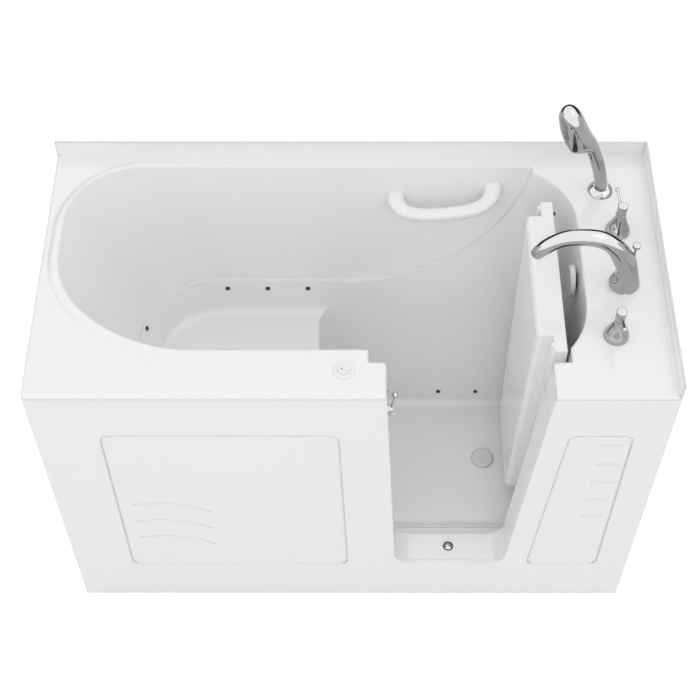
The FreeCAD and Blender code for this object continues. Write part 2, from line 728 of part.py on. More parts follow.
def wave_rib(left, base_z, y):
    """Crescent rib: rises to a crest, falls away to the right."""
    place = at_y(y)
    start = place(left, base_z)
    end = place(left + WAVE_LENGTH, base_z - WAVE_FALL)
    crest = place(left + WAVE_PEAK, base_z + WAVE_CREST)
    belly = place(left + WAVE_PEAK, base_z + WAVE_CREST - WAVE_BODY)
    upper = Part.Arc(start, crest, end).toShape()
    lower = Part.Arc(end, belly, start).toShape()
    return plate(Part.Wire([upper, lower]), -BACK * RIB_HEIGHT)


def left_access_panel():
    face_y = FRONT_Y + PANEL_SINK
    panel = plate(left_panel_wire(face_y), BACK * PANEL_THICK)
    left = LEFT_X + LEFT_PANEL_MARGIN + WAVE_INSET
    ribs = [wave_rib(left, WAVE_LOW_Z + i * WAVE_PITCH, face_y) for i in range(WAVE_COUNT)]
    return join([panel] + ribs)


def right_access_panel():
    face_y = FRONT_Y + PANEL_SINK
    panel = plate(right_panel_wire(face_y), BACK * PANEL_THICK)
    right = RIGHT_X - RIGHT_PANEL_MARGIN - DASH_MARGIN
    ribs = []
    for i in range(DASH_COUNT):
        low = DASH_LOW_Z + i * DASH_PITCH
        half = (DASH_WIDTH - DASH_END_FLAT) / 2
        corners = [(right - DASH_LENGTH, low, half), (right, low, half), (right, low + DASH_WIDTH, half),
                   (right - DASH_LENGTH, low + DASH_WIDTH, half)]
        ribs.append(plate(rounded_wire(corners, at_y(face_y)), -BACK * RIB_HEIGHT))
    return join([panel] + ribs)


def panel_clips():
    """Spring clips on the panels' backs that hook behind the apron, above and below."""
    clips = []
    back = FRONT_Y + PANEL_SINK + PANEL_THICK
    low_edge = PANEL_LOW_Z + PANEL_LEDGE + CLIP_PLAY
    high_edge = PANEL_HIGH_Z - PANEL_LEDGE - CLIP_PLAY
    spans = [(LEFT_X + LEFT_PANEL_MARGIN, POCKET_LEFT_X - LEFT_PANEL_TO_DOOR),
             (POCKET_RIGHT_X + RIGHT_PANEL_TO_DOOR, RIGHT_X - RIGHT_PANEL_MARGIN)]
    for left, right in spans:
        for share in (1 / 3, 2 / 3):
            x = left + share * (right - left) - CLIP_WIDTH / 2
            for edge, side in ((low_edge, 1), (high_edge, -1)):
                legs = sorted((edge, edge + side * CLIP_THICK))
                leg = box((x, back, legs[0]), (x + CLIP_WIDTH, APRON_BACK_Y + CLIP_PLAY + CLIP_THICK, legs[1]))
                hooks = sorted((edge - side * CLIP_HOOK, edge + side * CLIP_THICK))
                hook = box((x, APRON_BACK_Y + CLIP_PLAY, hooks[0]),
                           (x + CLIP_WIDTH, APRON_BACK_Y + CLIP_PLAY + CLIP_THICK, hooks[1]))
                clips.append(leg.fuse(hook).removeSplitter())
    return Part.makeCompound(clips)


def door_frame():
    """Moulded jambs and sill: outer pocket, step that the seal presses on, rebate that meets the tub."""
    tub_face = BASIN_FRONT_Y - WALL
    pocket = plate(pocket_wire(APRON_BACK_Y, FRAME_WALL, UNDER_DECK_Z), BACK * (REBATE_Y - APRON_BACK_Y))
    rebate = plate(rebate_wire(REBATE_Y - FRAME_WALL, FRAME_WALL, UNDER_DECK_Z),
                   BACK * (tub_face - REBATE_Y + FRAME_WALL))
    frame = pocket.fuse(rebate).cut(doorway_space())
    return frame.removeSplitter()


def left_end_panel():
    return box((LEFT_X, APRON_BACK_Y, PANEL_FLOOR_GAP), (LEFT_X + END_PANEL_THICK, BACK_Y, UNDER_DECK_Z))


# Door: modelled closed in the doorway, then swung open about the hinge line


def swing_open(shape):
    shape.rotate(V(HINGE_X, HINGE_Y, 0), UP, -DOOR_OPEN_DEG)
    return shape


def hinge_heights():
    return [HINGE_LOW_Z + i * HINGE_PITCH for i in range(HINGE_COUNT)]


def flange_wire(y, inset, top):
    left = REBATE_LEFT_X + DOOR_GAP + inset
    right = REBATE_RIGHT_X - DOOR_HINGE_GAP - inset
    sill = REBATE_SILL_Z + DOOR_GAP + inset
    return doorway_wire(y, left, right, 0, sill, REBATE_CORNER - DOOR_GAP - inset, top)


def latch_place():
    """Pivot point on the left jamb's face at the latch height."""
    wall_x = POCKET_LEFT_X + DOORWAY_LEFT_TAPER * (DECK_Z - LATCH_Z) / DOORWAY_HEIGHT
    return V(wall_x, FRONT_Y + LATCH_FROM_FRONT, LATCH_Z)


def latch_slot():
    """Quarter-circle slot in the door's edge, open to the outside, for the latch's hook pin."""
    pivot = latch_place()
    play = LATCH_PIN_R + LATCH_SLOT_PLAY
    depth = PLUG_GAP_FREE + LATCH_PIN_REACH + LATCH_SLOT_PLAY
    ring = pipe(LATCH_HOOK_R + play, LATCH_HOOK_R - play, depth, pivot, RIGHT)
    quarter = box((pivot.x, pivot.y, pivot.z - LATCH_HOOK_R - play),
                  (pivot.x + depth, pivot.y + LATCH_HOOK_R + play, pivot.z))
    end = rod(play, depth, pivot + BACK * LATCH_HOOK_R, RIGHT)
    return ring.common(quarter).fuse(end)


def door_panel():
    inner_y = BASIN_FRONT_Y
    seal_y = inner_y - DOOR_FLANGE
    plug_y = seal_y - DOOR_PLUG
    flange = plate(flange_wire(seal_y, 0, DECK_Z), BACK * DOOR_FLANGE)
    plug_wire = doorway_wire(plug_y, POCKET_LEFT_X + PLUG_GAP_FREE, POCKET_RIGHT_X - PLUG_GAP, DOORWAY_RIGHT_TAPER,
                             SILL_Z + PLUG_GAP, DOORWAY_CORNER - PLUG_GAP, DECK_Z)
    plug = plate(plug_wire, BACK * (DOOR_PLUG + DOOR_FLANGE / 2))
    rim = [e for e in plug.Edges if all(near(p.Y, plug_y) for p in e.Vertexes)]
    plug = plug.makeFillet(PLUG_ROUND, rim)
    door = flange.fuse(plug).removeSplitter()
    for z in hinge_heights():
        reach = 1.5 * KNUCKLE_LENGTH + 2 * KNUCKLE_SLIT
        door = door.cut(rod(KNUCKLE_R + KNUCKLE_PLAY, 2 * reach, V(HINGE_X, HINGE_Y, z - reach)))
    return swing_open(door.cut(latch_slot()))


def door_seal():
    """Soft rubber strip round the plug, down both sides and under it."""
    seal_y = BASIN_FRONT_Y - DOOR_FLANGE
    outer = plate(flange_wire(seal_y, DOOR_SEAL_INSET, DECK_Z), -BACK * DOOR_SEAL_THICK)
    inner = plate(flange_wire(seal_y, DOOR_SEAL_INSET + DOOR_SEAL_WIDTH, DECK_Z + OVERRUN), -BACK * DOOR_SEAL_THICK)
    return swing_open(outer.cut(inner))


def door_bumper():
    place = V(REBATE_LEFT_X + DOOR_GAP + BUMPER_INSET, BASIN_FRONT_Y, DECK_Z - BUMPER_DROP)
    button = rod(BUMPER_R, BUMPER_LENGTH, place, BACK)
    rim = [e for e in button.Edges if near(e.BoundBox.YMin, BASIN_FRONT_Y + BUMPER_LENGTH)]
    return swing_open(button.makeFillet(BUMPER_R / 2, rim))


def hinge_door_leaves():
    leaves = []
    face = BASIN_FRONT_Y
    for z in hinge_heights():
        half = 1.5 * KNUCKLE_LENGTH
        clear = KNUCKLE_R + KNUCKLE_PLAY
        leaf = box((HINGE_X - clear - LEAF_LENGTH, face, z - half), (HINGE_X - clear, face + LEAF_THICK, z + half))
        for low in (z - half, z + KNUCKLE_LENGTH / 2 + KNUCKLE_SLIT):
            high = low + KNUCKLE_LENGTH - KNUCKLE_SLIT
            leaf = leaf.fuse(box((HINGE_X - clear, face, low), (HINGE_X, face + LEAF_THICK, high)))
            leaf = leaf.fuse(rod(KNUCKLE_R, high - low, V(HINGE_X, HINGE_Y, low)))
        leaf = leaf.cut(rod(HINGE_PIN_R, 2 * half, V(HINGE_X, HINGE_Y, z - half)))
        leaves.append(swing_open(leaf.removeSplitter()))
    return Part.makeCompound(leaves)


def hinge_pins():
    half = 1.5 * KNUCKLE_LENGTH
    return Part.makeCompound([rod(HINGE_PIN_R, 2 * half, V(HINGE_X, HINGE_Y, z - half)) for z in hinge_heights()])


def hinge_frame_leaves():
    """Leaves on the rebate's side wall, with one middle knuckle each on an arm over the door's edge."""
    leaves = []
    for z in hinge_heights():
        low = z - KNUCKLE_LENGTH / 2
        high = z + KNUCKLE_LENGTH / 2
        arm_y = HINGE_Y + ARM_LOW
        knuckle = rod(KNUCKLE_R, high - low, V(HINGE_X, HINGE_Y, low))
        arm = box((HINGE_X, arm_y, low), (REBATE_RIGHT_X, arm_y + ARM_THICK, high))
        leaf = box((REBATE_RIGHT_X - LEAF_THICK, REBATE_Y + LEAF_THICK, low),
                   (REBATE_RIGHT_X, arm_y + ARM_THICK, high))
        bore = rod(HINGE_PIN_R + PIN_PLAY, high - low, V(HINGE_X, HINGE_Y, low))
        leaves.append(join([knuckle, arm, leaf]).cut(bore))
    return Part.makeCompound(leaves)


def latch_base():
    pivot = latch_place()
    base = rod(LATCH_BASE_R, LATCH_BASE_THICK * 2, pivot - RIGHT * LATCH_BASE_THICK, RIGHT)
    return base.common(plate(pocket_wire(FRONT_Y), BACK * POCKET_DEPTH))


def latch_screw():
    pivot = latch_place()
    hub_x = LATCH_BASE_THICK + LATCH_PLAY
    shank = rod(LATCH_PIVOT_R, LATCH_HUB_THICK + 2 * LATCH_PLAY, pivot + RIGHT * LATCH_BASE_THICK, RIGHT)
    head_x = hub_x + LATCH_HUB_THICK + LATCH_PLAY
    head = rod(LATCH_HEAD_R, LATCH_HEAD_THICK, pivot + RIGHT * head_x, RIGHT)
    return shank.fuse(head).removeSplitter()


def latch_lever():
    pivot = latch_place()
    hub_x = LATCH_BASE_THICK + LATCH_PLAY
    start = pivot + RIGHT * hub_x
    hub = rod(LATCH_HUB_R, LATCH_HUB_THICK, start, RIGHT)
    arm = box((start.x, start.y - LATCH_PIN_R, start.z - LATCH_HOOK_R),
              (start.x + LATCH_ARM_THICK, start.y + LATCH_PIN_R, start.z))
    eye = rod(LATCH_PIN_R, LATCH_ARM_THICK, start - UP * LATCH_HOOK_R, RIGHT)
    reach = PLUG_GAP_FREE + LATCH_PIN_REACH - hub_x
    hook = rod(LATCH_PIN_R, reach, start - UP * LATCH_HOOK_R, RIGHT)
    middle = start + RIGHT * (LATCH_HUB_THICK / 2)
    ball_at = middle + UP * LATCH_BALL_RISE + RIGHT * LATCH_BALL_LEAN
    stem = rod(LATCH_STEM_R, (ball_at - middle).Length, middle, ball_at - middle)
    ball = Part.makeSphere(LATCH_BALL_R, ball_at)
    lever = join([hub, arm, eye, hook, stem, ball])
    return lever.cut(rod(LATCH_PIVOT_R + PIN_PLAY, LATCH_HUB_THICK, start, RIGHT))


def sill_dome():
    middle = (POCKET_LEFT_X + DOORWAY_LEFT_TAPER + POCKET_RIGHT_X - DOORWAY_RIGHT_TAPER) / 2
    ball_r = (SILL_DOME_R ** 2 + SILL_DOME_HEIGHT ** 2) / (2 * SILL_DOME_HEIGHT)
    place = V(middle, FRONT_Y + SILL_DOME_FROM_FRONT, SILL_Z)
    ball = Part.makeSphere(ball_r, place + UP * (SILL_DOME_HEIGHT - ball_r))
    return ball.common(rod(SILL_DOME_R + OVERRUN, SILL_DOME_HEIGHT + OVERRUN, place))


# Lofted fittings


def squared(value, power):
    """A sine or cosine pushed outwards, which makes a round path squarer as the power rises above two."""
    return math.copysign(abs(value) ** (2 / power), value)


def oval(centre, along, across, half_across, half_other, power=OVAL_ROUND):
    """Oval ring round a centre, square to a direction."""
    other = along.cross(across)
    other.normalize()
    points = []
    for i in range(OVAL_POINTS):
        turn = 2 * math.pi * i / OVAL_POINTS
        points.append(centre + across * (half_across * squared(math.cos(turn), power))
                      + other * (half_other * squared(math.sin(turn), power)))
    curve = Part.BSplineCurve()
    curve.interpolate(points, PeriodicFlag=True)
    return Part.Wire(curve.toShape())


def directions(points):
    """Unit direction of travel at each point of a route."""
    found = []
    for i in range(len(points)):
        step = points[min(i + 1, len(points) - 1)] - points[max(i - 1, 0)]
        step.normalize()
        found.append(step)
    return found


def bent_pipe(points, radius, bend):
    """Pipe along straight runs with an arc at each corner."""
    edges = []
    last = points[0]
    for before, here, after in zip(points, points[1:], points[2:]):
        back = before - here
        ahead = after - here
        back.normalize()
        ahead.normalize()
        half = back.getAngle(ahead) / 2
        reach = bend / math.tan(half)
        middle = back + ahead
        middle.normalize()
        start = here + back * reach
        end = here + ahead * reach
        edges.append(Part.makeLine(last, start))
        edges.append(Part.Arc(start, here + middle * (bend / math.sin(half) - bend), end).toShape())
        last = end
    edges.append(Part.makeLine(last, points[-1]))
    section = Part.Wire(Part.makeCircle(radius, points[0], points[1] - points[0]))
    return Part.Wire(edges).makePipeShell([section], True, False)


def grab_bar():
    """Bow between two feet on the back wall, wider at the feet, trimmed to the wall."""
    centre = V((BAR_LEFT_X + BAR_RIGHT_X) / 2, 0, (BAR_LEFT_Z + BAR_RIGHT_Z) / 2)
    ledge_back = WALL_BACK_Y - BACK_WALL_LEAN * (DECK_Z - LEDGE_Z) + BOWL_LEDGE_STEP
    lean = (RIM_BACK_Y - ledge_back) / (DECK_Z - LEDGE_Z)
    centre.y = ledge_back + lean * (centre.z - LEDGE_Z) + BAR_EMBED
    half = V((BAR_RIGHT_X - BAR_LEFT_X) / 2, 0, (BAR_RIGHT_Z - BAR_LEFT_Z) / 2)
    out = V(0, -BAR_STANDOFF - BAR_EMBED, -BAR_DROOP)
    points = []
    for i in range(BAR_SECTIONS):
        turn = math.pi * i / (BAR_SECTIONS - 1)
        points.append(centre - half * squared(math.cos(turn), BAR_SQUARE) + out * squared(math.sin(turn), BAR_SQUARE))
    flat = half.cross(out)
    flat.normalize()
    rings = []
    for i, (point, along) in enumerate(zip(points, directions(points))):
        share = abs(2 * i / (BAR_SECTIONS - 1) - 1)
        width = BAR_R + (BAR_FOOT_HALF - BAR_R) * share ** 2
        rings.append(oval(point, along, flat, BAR_R, width, BAR_SECTION_SQUARE))
    return Part.makeLoft(rings, True, False).common(basin(0))


def deck_point(place):
    return V(RIGHT_X - place[0], BACK_Y - place[1], DECK_Z)


def spout():
    base = deck_point(SPOUT_PLACE)
    points = [base - RIGHT * run + UP * rise for run, rise, diameter in SPOUT_ARCH]
    ways = directions(points)
    ways[0] = UP
    rings = [oval(p, way, BACK, d / 2, d / 2) for p, way, (run, rise, d) in zip(points, ways, SPOUT_ARCH)]
    arch = Part.makeLoft(rings, True, False)
    shank = rod(SHANK_R, SHANK_LENGTH, base - UP * SHANK_LENGTH)
    bore = diverter_base()
    body = arch.fuse(shank).cut(rod(DIVERTER_STEM_R + RUN_PLAY, DIVERTER_BORE_DEPTH + DIVERTER_STEM, bore))
    tip = points[-1]
    return body.cut(rod(AERATOR_R, AERATOR_LENGTH, tip - ways[-1] * (AERATOR_LENGTH / 2), ways[-1]))


def spout_aerator():
    base = deck_point(SPOUT_PLACE)
    points = [base - RIGHT * run + UP * rise for run, rise, diameter in SPOUT_ARCH]
    way = directions(points)[-1]
    return rod(AERATOR_R, AERATOR_LENGTH / 2, points[-1] - way * (AERATOR_LENGTH / 2), way)


def diverter_base():
    return deck_point(SPOUT_PLACE) - RIGHT * DIVERTER_RUN + UP * DIVERTER_RISE


def diverter_knob():
    low = diverter_base() + UP * DIVERTER_TRAVEL
    stem = rod(DIVERTER_STEM_R, DIVERTER_STEM, low)
    knob = rod(DIVERTER_KNOB_R, DIVERTER_KNOB, low + UP * DIVERTER_STEM)
    rims = [e for e in knob.Edges if len(e.Vertexes) == 1]
    return stem.fuse(knob.makeFillet(DIVERTER_KNOB_R / 3, rims)).removeSplitter()


def turned(profile, base):
    """Solid of revolution about a vertical line, from (radius, height) points joined by a smooth side."""
    outline = Part.BSplineCurve()
    outline.interpolate([V(r, 0, h) for r, h in profile])
    top = profile[-1]
    bottom = profile[0]
    edges = [outline.toShape(), Part.makeLine(V(top[0], 0, top[1]), V(0, 0, top[1])),
             Part.makeLine(V(0, 0, top[1]), V(0, 0, bottom[1])),
             Part.makeLine(V(0, 0, bottom[1]), V(bottom[0], 0, bottom[1]))]
    solid = Part.Face(Part.Wire(edges)).revolve(ORIGIN, UP, 360)
    solid.translate(base)
    return solid


def valve_bell(place):
    base = deck_point(place)
    top = BELL_PROFILE[-1][1]
    collar = rod(COLLAR_R, COLLAR_HEIGHT, base + UP * top)
    bore = rod(STEM_R + JET_PLAY, top + COLLAR_HEIGHT, base)
    return turned(BELL_PROFILE, base).fuse(collar).cut(bore)


def valve_body(place):
    base = deck_point(place)
    low = base - UP * (DECK_THICK + NUT_HEIGHT + VALVE_HEIGHT)
    body = rod(VALVE_R, VALVE_HEIGHT, low)
    shank = rod(SHANK_R, NUT_HEIGHT + DECK_THICK, low + UP * VALVE_HEIGHT)
    stem = rod(STEM_R, BELL_PROFILE[-1][1] + COLLAR_HEIGHT + HUB_LIFT + STEM_SOCKET, base)
    return join([body, shank, stem])


def lever_handle(place, lever_deg):
    base = deck_point(place) + UP * (BELL_PROFILE[-1][1] + COLLAR_HEIGHT + HUB_LIFT)
    hub = rod(HUB_R, HUB_HEIGHT, base)
    top = [e for e in hub.Edges if near(e.BoundBox.ZMin, base.z + HUB_HEIGHT)]
    hub = hub.makeFillet(HUB_DOME, top)
    start = base + UP * (HUB_HEIGHT / 2)
    turn = math.radians(lever_deg)
    end = start + V(math.cos(turn), math.sin(turn), 0) * LEVER_REACH + UP * LEVER_RISE
    lever = rod(LEVER_R, (end - start).Length, start, end - start)
    ball = Part.makeSphere(LEVER_BALL_R, end)
    return join([hub, lever, ball]).cut(rod(STEM_R + RUN_PLAY, STEM_SOCKET + HUB_LIFT, base))


def deck_nuts():
    nuts = []
    for place in (SHOWER_PLACE, HOT_PLACE, SPOUT_PLACE, COLD_PLACE):
        base = deck_point(place) - UP * (DECK_THICK + NUT_HEIGHT)
        nuts.append(pipe(NUT_R, SHANK_R, NUT_HEIGHT, base))
    return Part.makeCompound(nuts)


def supply_tails():
    tails = []
    for place in (HOT_PLACE, COLD_PLACE):
        top = deck_point(place) - UP * (DECK_THICK + NUT_HEIGHT + VALVE_HEIGHT)
        tails.append(rod(TAIL_R, TAIL_LENGTH, top - UP * TAIL_LENGTH))
    return Part.makeCompound(tails)


def crossover_pipes():
    """Pipes from both valves to the spout's shank."""
    middle = deck_point(SPOUT_PLACE) - UP * (DECK_THICK + NUT_HEIGHT + VALVE_HEIGHT / 2)
    pipes = []
    for place in (HOT_PLACE, COLD_PLACE):
        valve = deck_point(place)
        valve.z = middle.z
        tube = rod(CROSSOVER_R, (middle - valve).Length, valve, middle - valve)
        low = UP * -VALVE_HEIGHT
        tube = tube.cut(rod(VALVE_R, 2 * VALVE_HEIGHT, valve + low))
        pipes.append(tube.cut(rod(SHANK_R, 2 * VALVE_HEIGHT, middle + low)))
    return Part.makeCompound(pipes)


def shower_holder():
    base = deck_point(SHOWER_PLACE)
    dome = turned(HOLDER_PROFILE, base)
    sleeve = rod(HOLDER_SLEEVE_R, HOLDER_SLEEVE, base - UP * HOLDER_SLEEVE)
    height = HOLDER_PROFILE[-1][1]
    bore = rod(WAND_STEM_R + WAND_PLAY, HOLDER_SLEEVE + height, base - UP * HOLDER_SLEEVE)
    return dome.fuse(sleeve).cut(bore)


def wand_handle():
    base = deck_point(SHOWER_PLACE)
    points = [base - RIGHT * lean + UP * rise for lean, rise, radius in WAND]
    ways = directions(points)
    ways[0] = UP
    rings = [oval(point, way, BACK, r, r) for point, way, (lean, rise, r) in zip(points, ways, WAND)]
    return Part.makeLoft(rings, True, False)


def head_placed(shape):
    """Moves a shape from the head's own frame, whose axis is Z and whose spray side is -X, to its place."""
    middle = deck_point(SHOWER_PLACE) - RIGHT * HEAD_PLACE[0] + UP * HEAD_PLACE[1]
    shape.Placement = FreeCAD.Placement(middle, FreeCAD.Rotation(BACK, -HEAD_LEAN_DEG))
    return shape


def spray_side(thick):
    """Block outside the head's flat spray face."""
    size = 2 * HEAD_PROFILE[-1][1]
    return box((-SPRAY_OUT - thick, -size, -size), (-SPRAY_OUT, size, size))


def hand_shower():
    base = deck_point(SHOWER_PLACE)
    stem = rod(WAND_STEM_R, WAND_STEM, base + UP * (WAND[0][1] - WAND_STEM))
    head = head_placed(turned(HEAD_PROFILE, ORIGIN).cut(spray_side(OVERRUN)))
    return join([head, wand_handle(), stem])


def spray_plate():
    """Nozzle plate that covers the flat face of the shower head."""
    return head_placed(turned(HEAD_PROFILE, ORIGIN).common(spray_side(SPRAY_THICK)))


# Overflow, drain and waste


def overflow_centre():
    z = DECK_Z - OVERFLOW_DROP
    wall_x = WELL_RIGHT_X - WELL_RIGHT_RUN * OVERFLOW_DROP / (DECK_Z - FLOOR_Z)
    return V(wall_x, OVERFLOW_Y, z)


def overflow_body():
    wall = overflow_centre()
    front = wall - RIGHT * KNOB_STANDOFF
    tube = rod(OVERFLOW_TUBE_R, KNOB_STANDOFF + WALL + ELBOW_OUT, front, RIGHT)
    spindle = rod(KNOB_SPINDLE_R, KNOB_SOCKET, front - RIGHT * KNOB_SOCKET, RIGHT)
    elbow_at = wall + RIGHT * (WALL + ELBOW_OUT)
    elbow = rod(ELBOW_R, 2 * ELBOW_R, elbow_at - UP * ELBOW_R)
    return join([tube, spindle, elbow])


def overflow_knob():
    """Round cover, turned to lift the drain stopper."""
    wall = overflow_centre()
    back = wall - RIGHT * (KNOB_STANDOFF + HUB_LIFT)
    knob = rod(KNOB_R, KNOB_THICK, back - RIGHT * KNOB_THICK, RIGHT)
    front = [e for e in knob.Edges if near(e.BoundBox.XMax, back.x - KNOB_THICK)]
    knob = knob.makeFillet(KNOB_ROUND, front)
    return knob.cut(rod(KNOB_SPINDLE_R + RUN_PLAY, KNOB_SOCKET, back - RIGHT * KNOB_SOCKET, RIGHT))


def overflow_pipe():
    """Pipe from the overflow elbow down and under the floor to the waste tee."""
    wall = overflow_centre()
    x = wall.x + WALL + ELBOW_OUT
    points = [V(x, OVERFLOW_Y, wall.z - ELBOW_R), V(x, OVERFLOW_Y, WASTE_PIPE_Z), V(DRAIN_X, DRAIN_Y, WASTE_PIPE_Z)]
    tube = bent_pipe(points, WASTE_PIPE_R, WASTE_BEND)
    return tube.cut(rod(WASTE_R, FLOOR_Z, V(DRAIN_X, DRAIN_Y, 0)))


def drain_body():
    floor = V(DRAIN_X, DRAIN_Y, FLOOR_Z)
    flange = rod(DRAIN_FLANGE_R, DRAIN_FLANGE, floor)
    shank = rod(DRAIN_SHANK_R, DRAIN_SHANK, floor - UP * DRAIN_SHANK)
    throat = rod(DRAIN_BORE_R, DRAIN_SHANK + DRAIN_FLANGE, floor - UP * (DRAIN_SHANK - DRAIN_SPIDER))
    body = join([flange, shank]).cut(throat)
    low = floor - UP * DRAIN_SHANK
    for i in range(DRAIN_WINDOWS):
        turn = 2 * math.pi * i / DRAIN_WINDOWS
        spot = low + RIGHT * (DRAIN_WINDOW_PLACE * math.cos(turn)) + BACK * (DRAIN_WINDOW_PLACE * math.sin(turn))
        body = body.cut(rod(DRAIN_WINDOW_R, DRAIN_SPIDER, spot))
    return body.cut(rod(STOPPER_STEM_R + RUN_PLAY, DRAIN_SPIDER, low))


def drain_nut():
    base = V(DRAIN_X, DRAIN_Y, FLOOR_Z - WALL - DRAIN_NUT)
    return pipe(DRAIN_NUT_R, DRAIN_SHANK_R, DRAIN_NUT, base)


def drain_stopper():
    rest = V(DRAIN_X, DRAIN_Y, FLOOR_Z + DRAIN_FLANGE + STOPPER_LIFT)
    disc = rod(STOPPER_R, STOPPER_THICK, rest)
    top = [e for e in disc.Edges if near(e.BoundBox.ZMin, rest.z + STOPPER_THICK)]
    disc = disc.makeFillet(STOPPER_DOME, top)
    length = DRAIN_SHANK + DRAIN_FLANGE + STOPPER_LIFT - STOPPER_STEM_SHORT
    return disc.fuse(rod(STOPPER_STEM_R, length, rest - UP * length)).removeSplitter()


def waste_tee():
    low = V(DRAIN_X, DRAIN_Y, WASTE_LOW_Z)
    tee = rod(WASTE_R, FLOOR_Z - DRAIN_SHANK - WASTE_LOW_Z, low)
    outlet = rod(OUTLET_R, OUTLET_LENGTH, low - UP * OUTLET_LENGTH)
    return tee.fuse(outlet).removeSplitter()


# Air system


def back_wall_point(x, z):
    return V(x, WALL_BACK_Y - BACK_WALL_LEAN * (DECK_Z - z), z)


def back_wall_normal():
    outward = V(0, 1, -BACK_WALL_LEAN)
    outward.normalize()
    return outward


def seat_jet_line():
    """Places of the seat's jets along the tub, evenly spaced."""
    first = SEAT_LEFT_X + SEAT_JET_FIRST
    step = (SEAT_FRONT_X - SEAT_JET_LAST - first) / (SEAT_JET_COUNT - 1)
    return [first + i * step for i in range(SEAT_JET_COUNT)]


def backrest_jet(side):
    """Point and outward direction of a jet in a left corner of the seat, back (1) or front (-1)."""
    turn = math.radians(BACKREST_JET_DEG)
    out = V(-math.cos(turn), side * math.sin(turn), 0)

    def wall_point(z):
        left, front, back, radius = seat_plan(z, 0)
        corner_y = back - radius if side > 0 else front + radius
        return V(left + radius, corner_y, z) + out * radius

    point = wall_point(BACKREST_JET_Z)
    climb = wall_point(BACKREST_JET_Z + 1) - point
    way = climb.cross(out.cross(UP))
    way.normalize()
    if way.x > 0:
        way = -way
    return point - way * BACKREST_JET_LIFT, way


def seat_back_row():
    return [(back_wall_point(x, SEAT_JET_Z), back_wall_normal()) for x in seat_jet_line()]


def well_row():
    return [(back_wall_point(WELL_RIGHT_X - inset, WELL_JET_Z), back_wall_normal()) for inset in WELL_JET_INSETS]


def seat_front_row():
    """The seat's back row mirrored to the front wall."""
    return [(V(point.x, 2 * BASIN_MID_Y - point.y, point.z), V(0, -way.y, way.z)) for point, way in seat_back_row()]


def jet_places():
    """Point on the wall and outward direction of each air jet."""
    backrest = [backrest_jet(side) for side in (-1, 1)]
    return backrest + seat_back_row() + well_row() + seat_front_row()


def jet_holes():
    return [rod(JET_BODY_R + JET_PLAY, 3 * WALL, point - way * WALL, way) for point, way in jet_places()]


def air_jets():
    jets = []
    for point, way in jet_places():
        face = rod(JET_R, JET_FACE, point - way * JET_FACE, way)
        jets.append(face.fuse(rod(JET_BODY_R, JET_LENGTH, point, way)).removeSplitter())
    return Part.makeCompound(jets)


def manifold_end(row, side):
    """Centre of a manifold's left (-1) or right (+1) end."""
    point, way = row[0] if side < 0 else row[-1]
    return point + way * (JET_LENGTH + MANIFOLD_R) + RIGHT * (side * MANIFOLD_MARGIN)


def manifold(row):
    """Straight air pipe that a row of jets plugs into."""
    start = manifold_end(row, -1)
    return rod(MANIFOLD_R, manifold_end(row, 1).x - start.x, start, RIGHT)


def capped_manifold(row):
    """Manifold whose right end is capped just past its last jet."""
    start = manifold_end(row, -1)
    return rod(MANIFOLD_R, row[-1][0].x + MANIFOLD_R - start.x, start, RIGHT)


# Steel frame


def rail_y(side):
    """Inner and outer faces of a long rail, front (-1) or back (+1)."""
    outer = side * (TUB_WIDTH / 2 - RAIL_INSET_Y + TUBE / 2)
    return sorted((outer, outer - side * TUBE))


def frame_rails():
    rails = []
    for side in (-1, 1):
        low, high = rail_y(side)
        rails.append(box((LEFT_X + RAIL_END_GAP, low, RAIL_Z), (RIGHT_X - RAIL_END_GAP, high, RAIL_Z + TUBE)))
    return Part.makeCompound(rails)


def frame_crossbars():
    front = rail_y(-1)[1]
    back = rail_y(1)[0]
    return Part.makeCompound([box((x - TUBE / 2, front, RAIL_Z), (x + TUBE / 2, back, RAIL_Z + TUBE))
                              for x in CROSSBAR_X])


def frame_uprights():
    posts = []
    for x in (LEFT_X + UPRIGHT_INSET_X, RIGHT_X - UPRIGHT_INSET_X):
        for side in (-1, 1):
            low, high = rail_y(side)
            posts.append(box((x - TUBE / 2, low, RAIL_Z + TUBE), (x + TUBE / 2, high, UNDER_DECK_Z)))
    return Part.makeCompound(posts)


def basin_supports():
    """Short posts under the footwell and tall ones under the seat, standing on the crossbars."""
    posts = []
    top = RAIL_Z + TUBE
    seat_bars = [(x, BASIN_MID_Y, SEAT_POST_Y, SEAT_Z) for x in CROSSBAR_X[1:3]]
    well_bars = [(x, 0.0, WELL_POST_Y, FLOOR_Z) for x in CROSSBAR_X[3:5]]
    for x, middle, spread, level in seat_bars + well_bars:
        for side in (-1, 1):
            mid_y = middle + side * spread
            posts.append(box((x - POST / 2, mid_y - POST / 2, top), (x + POST / 2, mid_y + POST / 2, level - WALL)))
    return Part.makeCompound(posts)


def foot_places():
    xs = (LEFT_X + FOOT_INSET, 0.0, RIGHT_X - FOOT_INSET)
    return [V(x, sum(rail_y(side)) / 2, 0) for x in xs for side in (-1, 1)]


def levelling_feet():
    feet = []
    for place in foot_places():
        pad = rod(FOOT_R, FOOT_HEIGHT, place)
        rim = [e for e in pad.Edges if near(e.BoundBox.ZMin, FOOT_HEIGHT)]
        pad = pad.makeFillet(FOOT_HEIGHT / 3, rim)
        feet.append(pad.fuse(rod(FOOT_STUD_R, RAIL_Z - FOOT_HEIGHT, place + UP * FOOT_HEIGHT)).removeSplitter())
    return Part.makeCompound(feet)


def foot_lock_nuts():
    return Part.makeCompound([pipe(FOOT_NUT_R, FOOT_STUD_R, FOOT_NUT, place + UP * (RAIL_Z - FOOT_NUT))
                              for place in foot_places()])


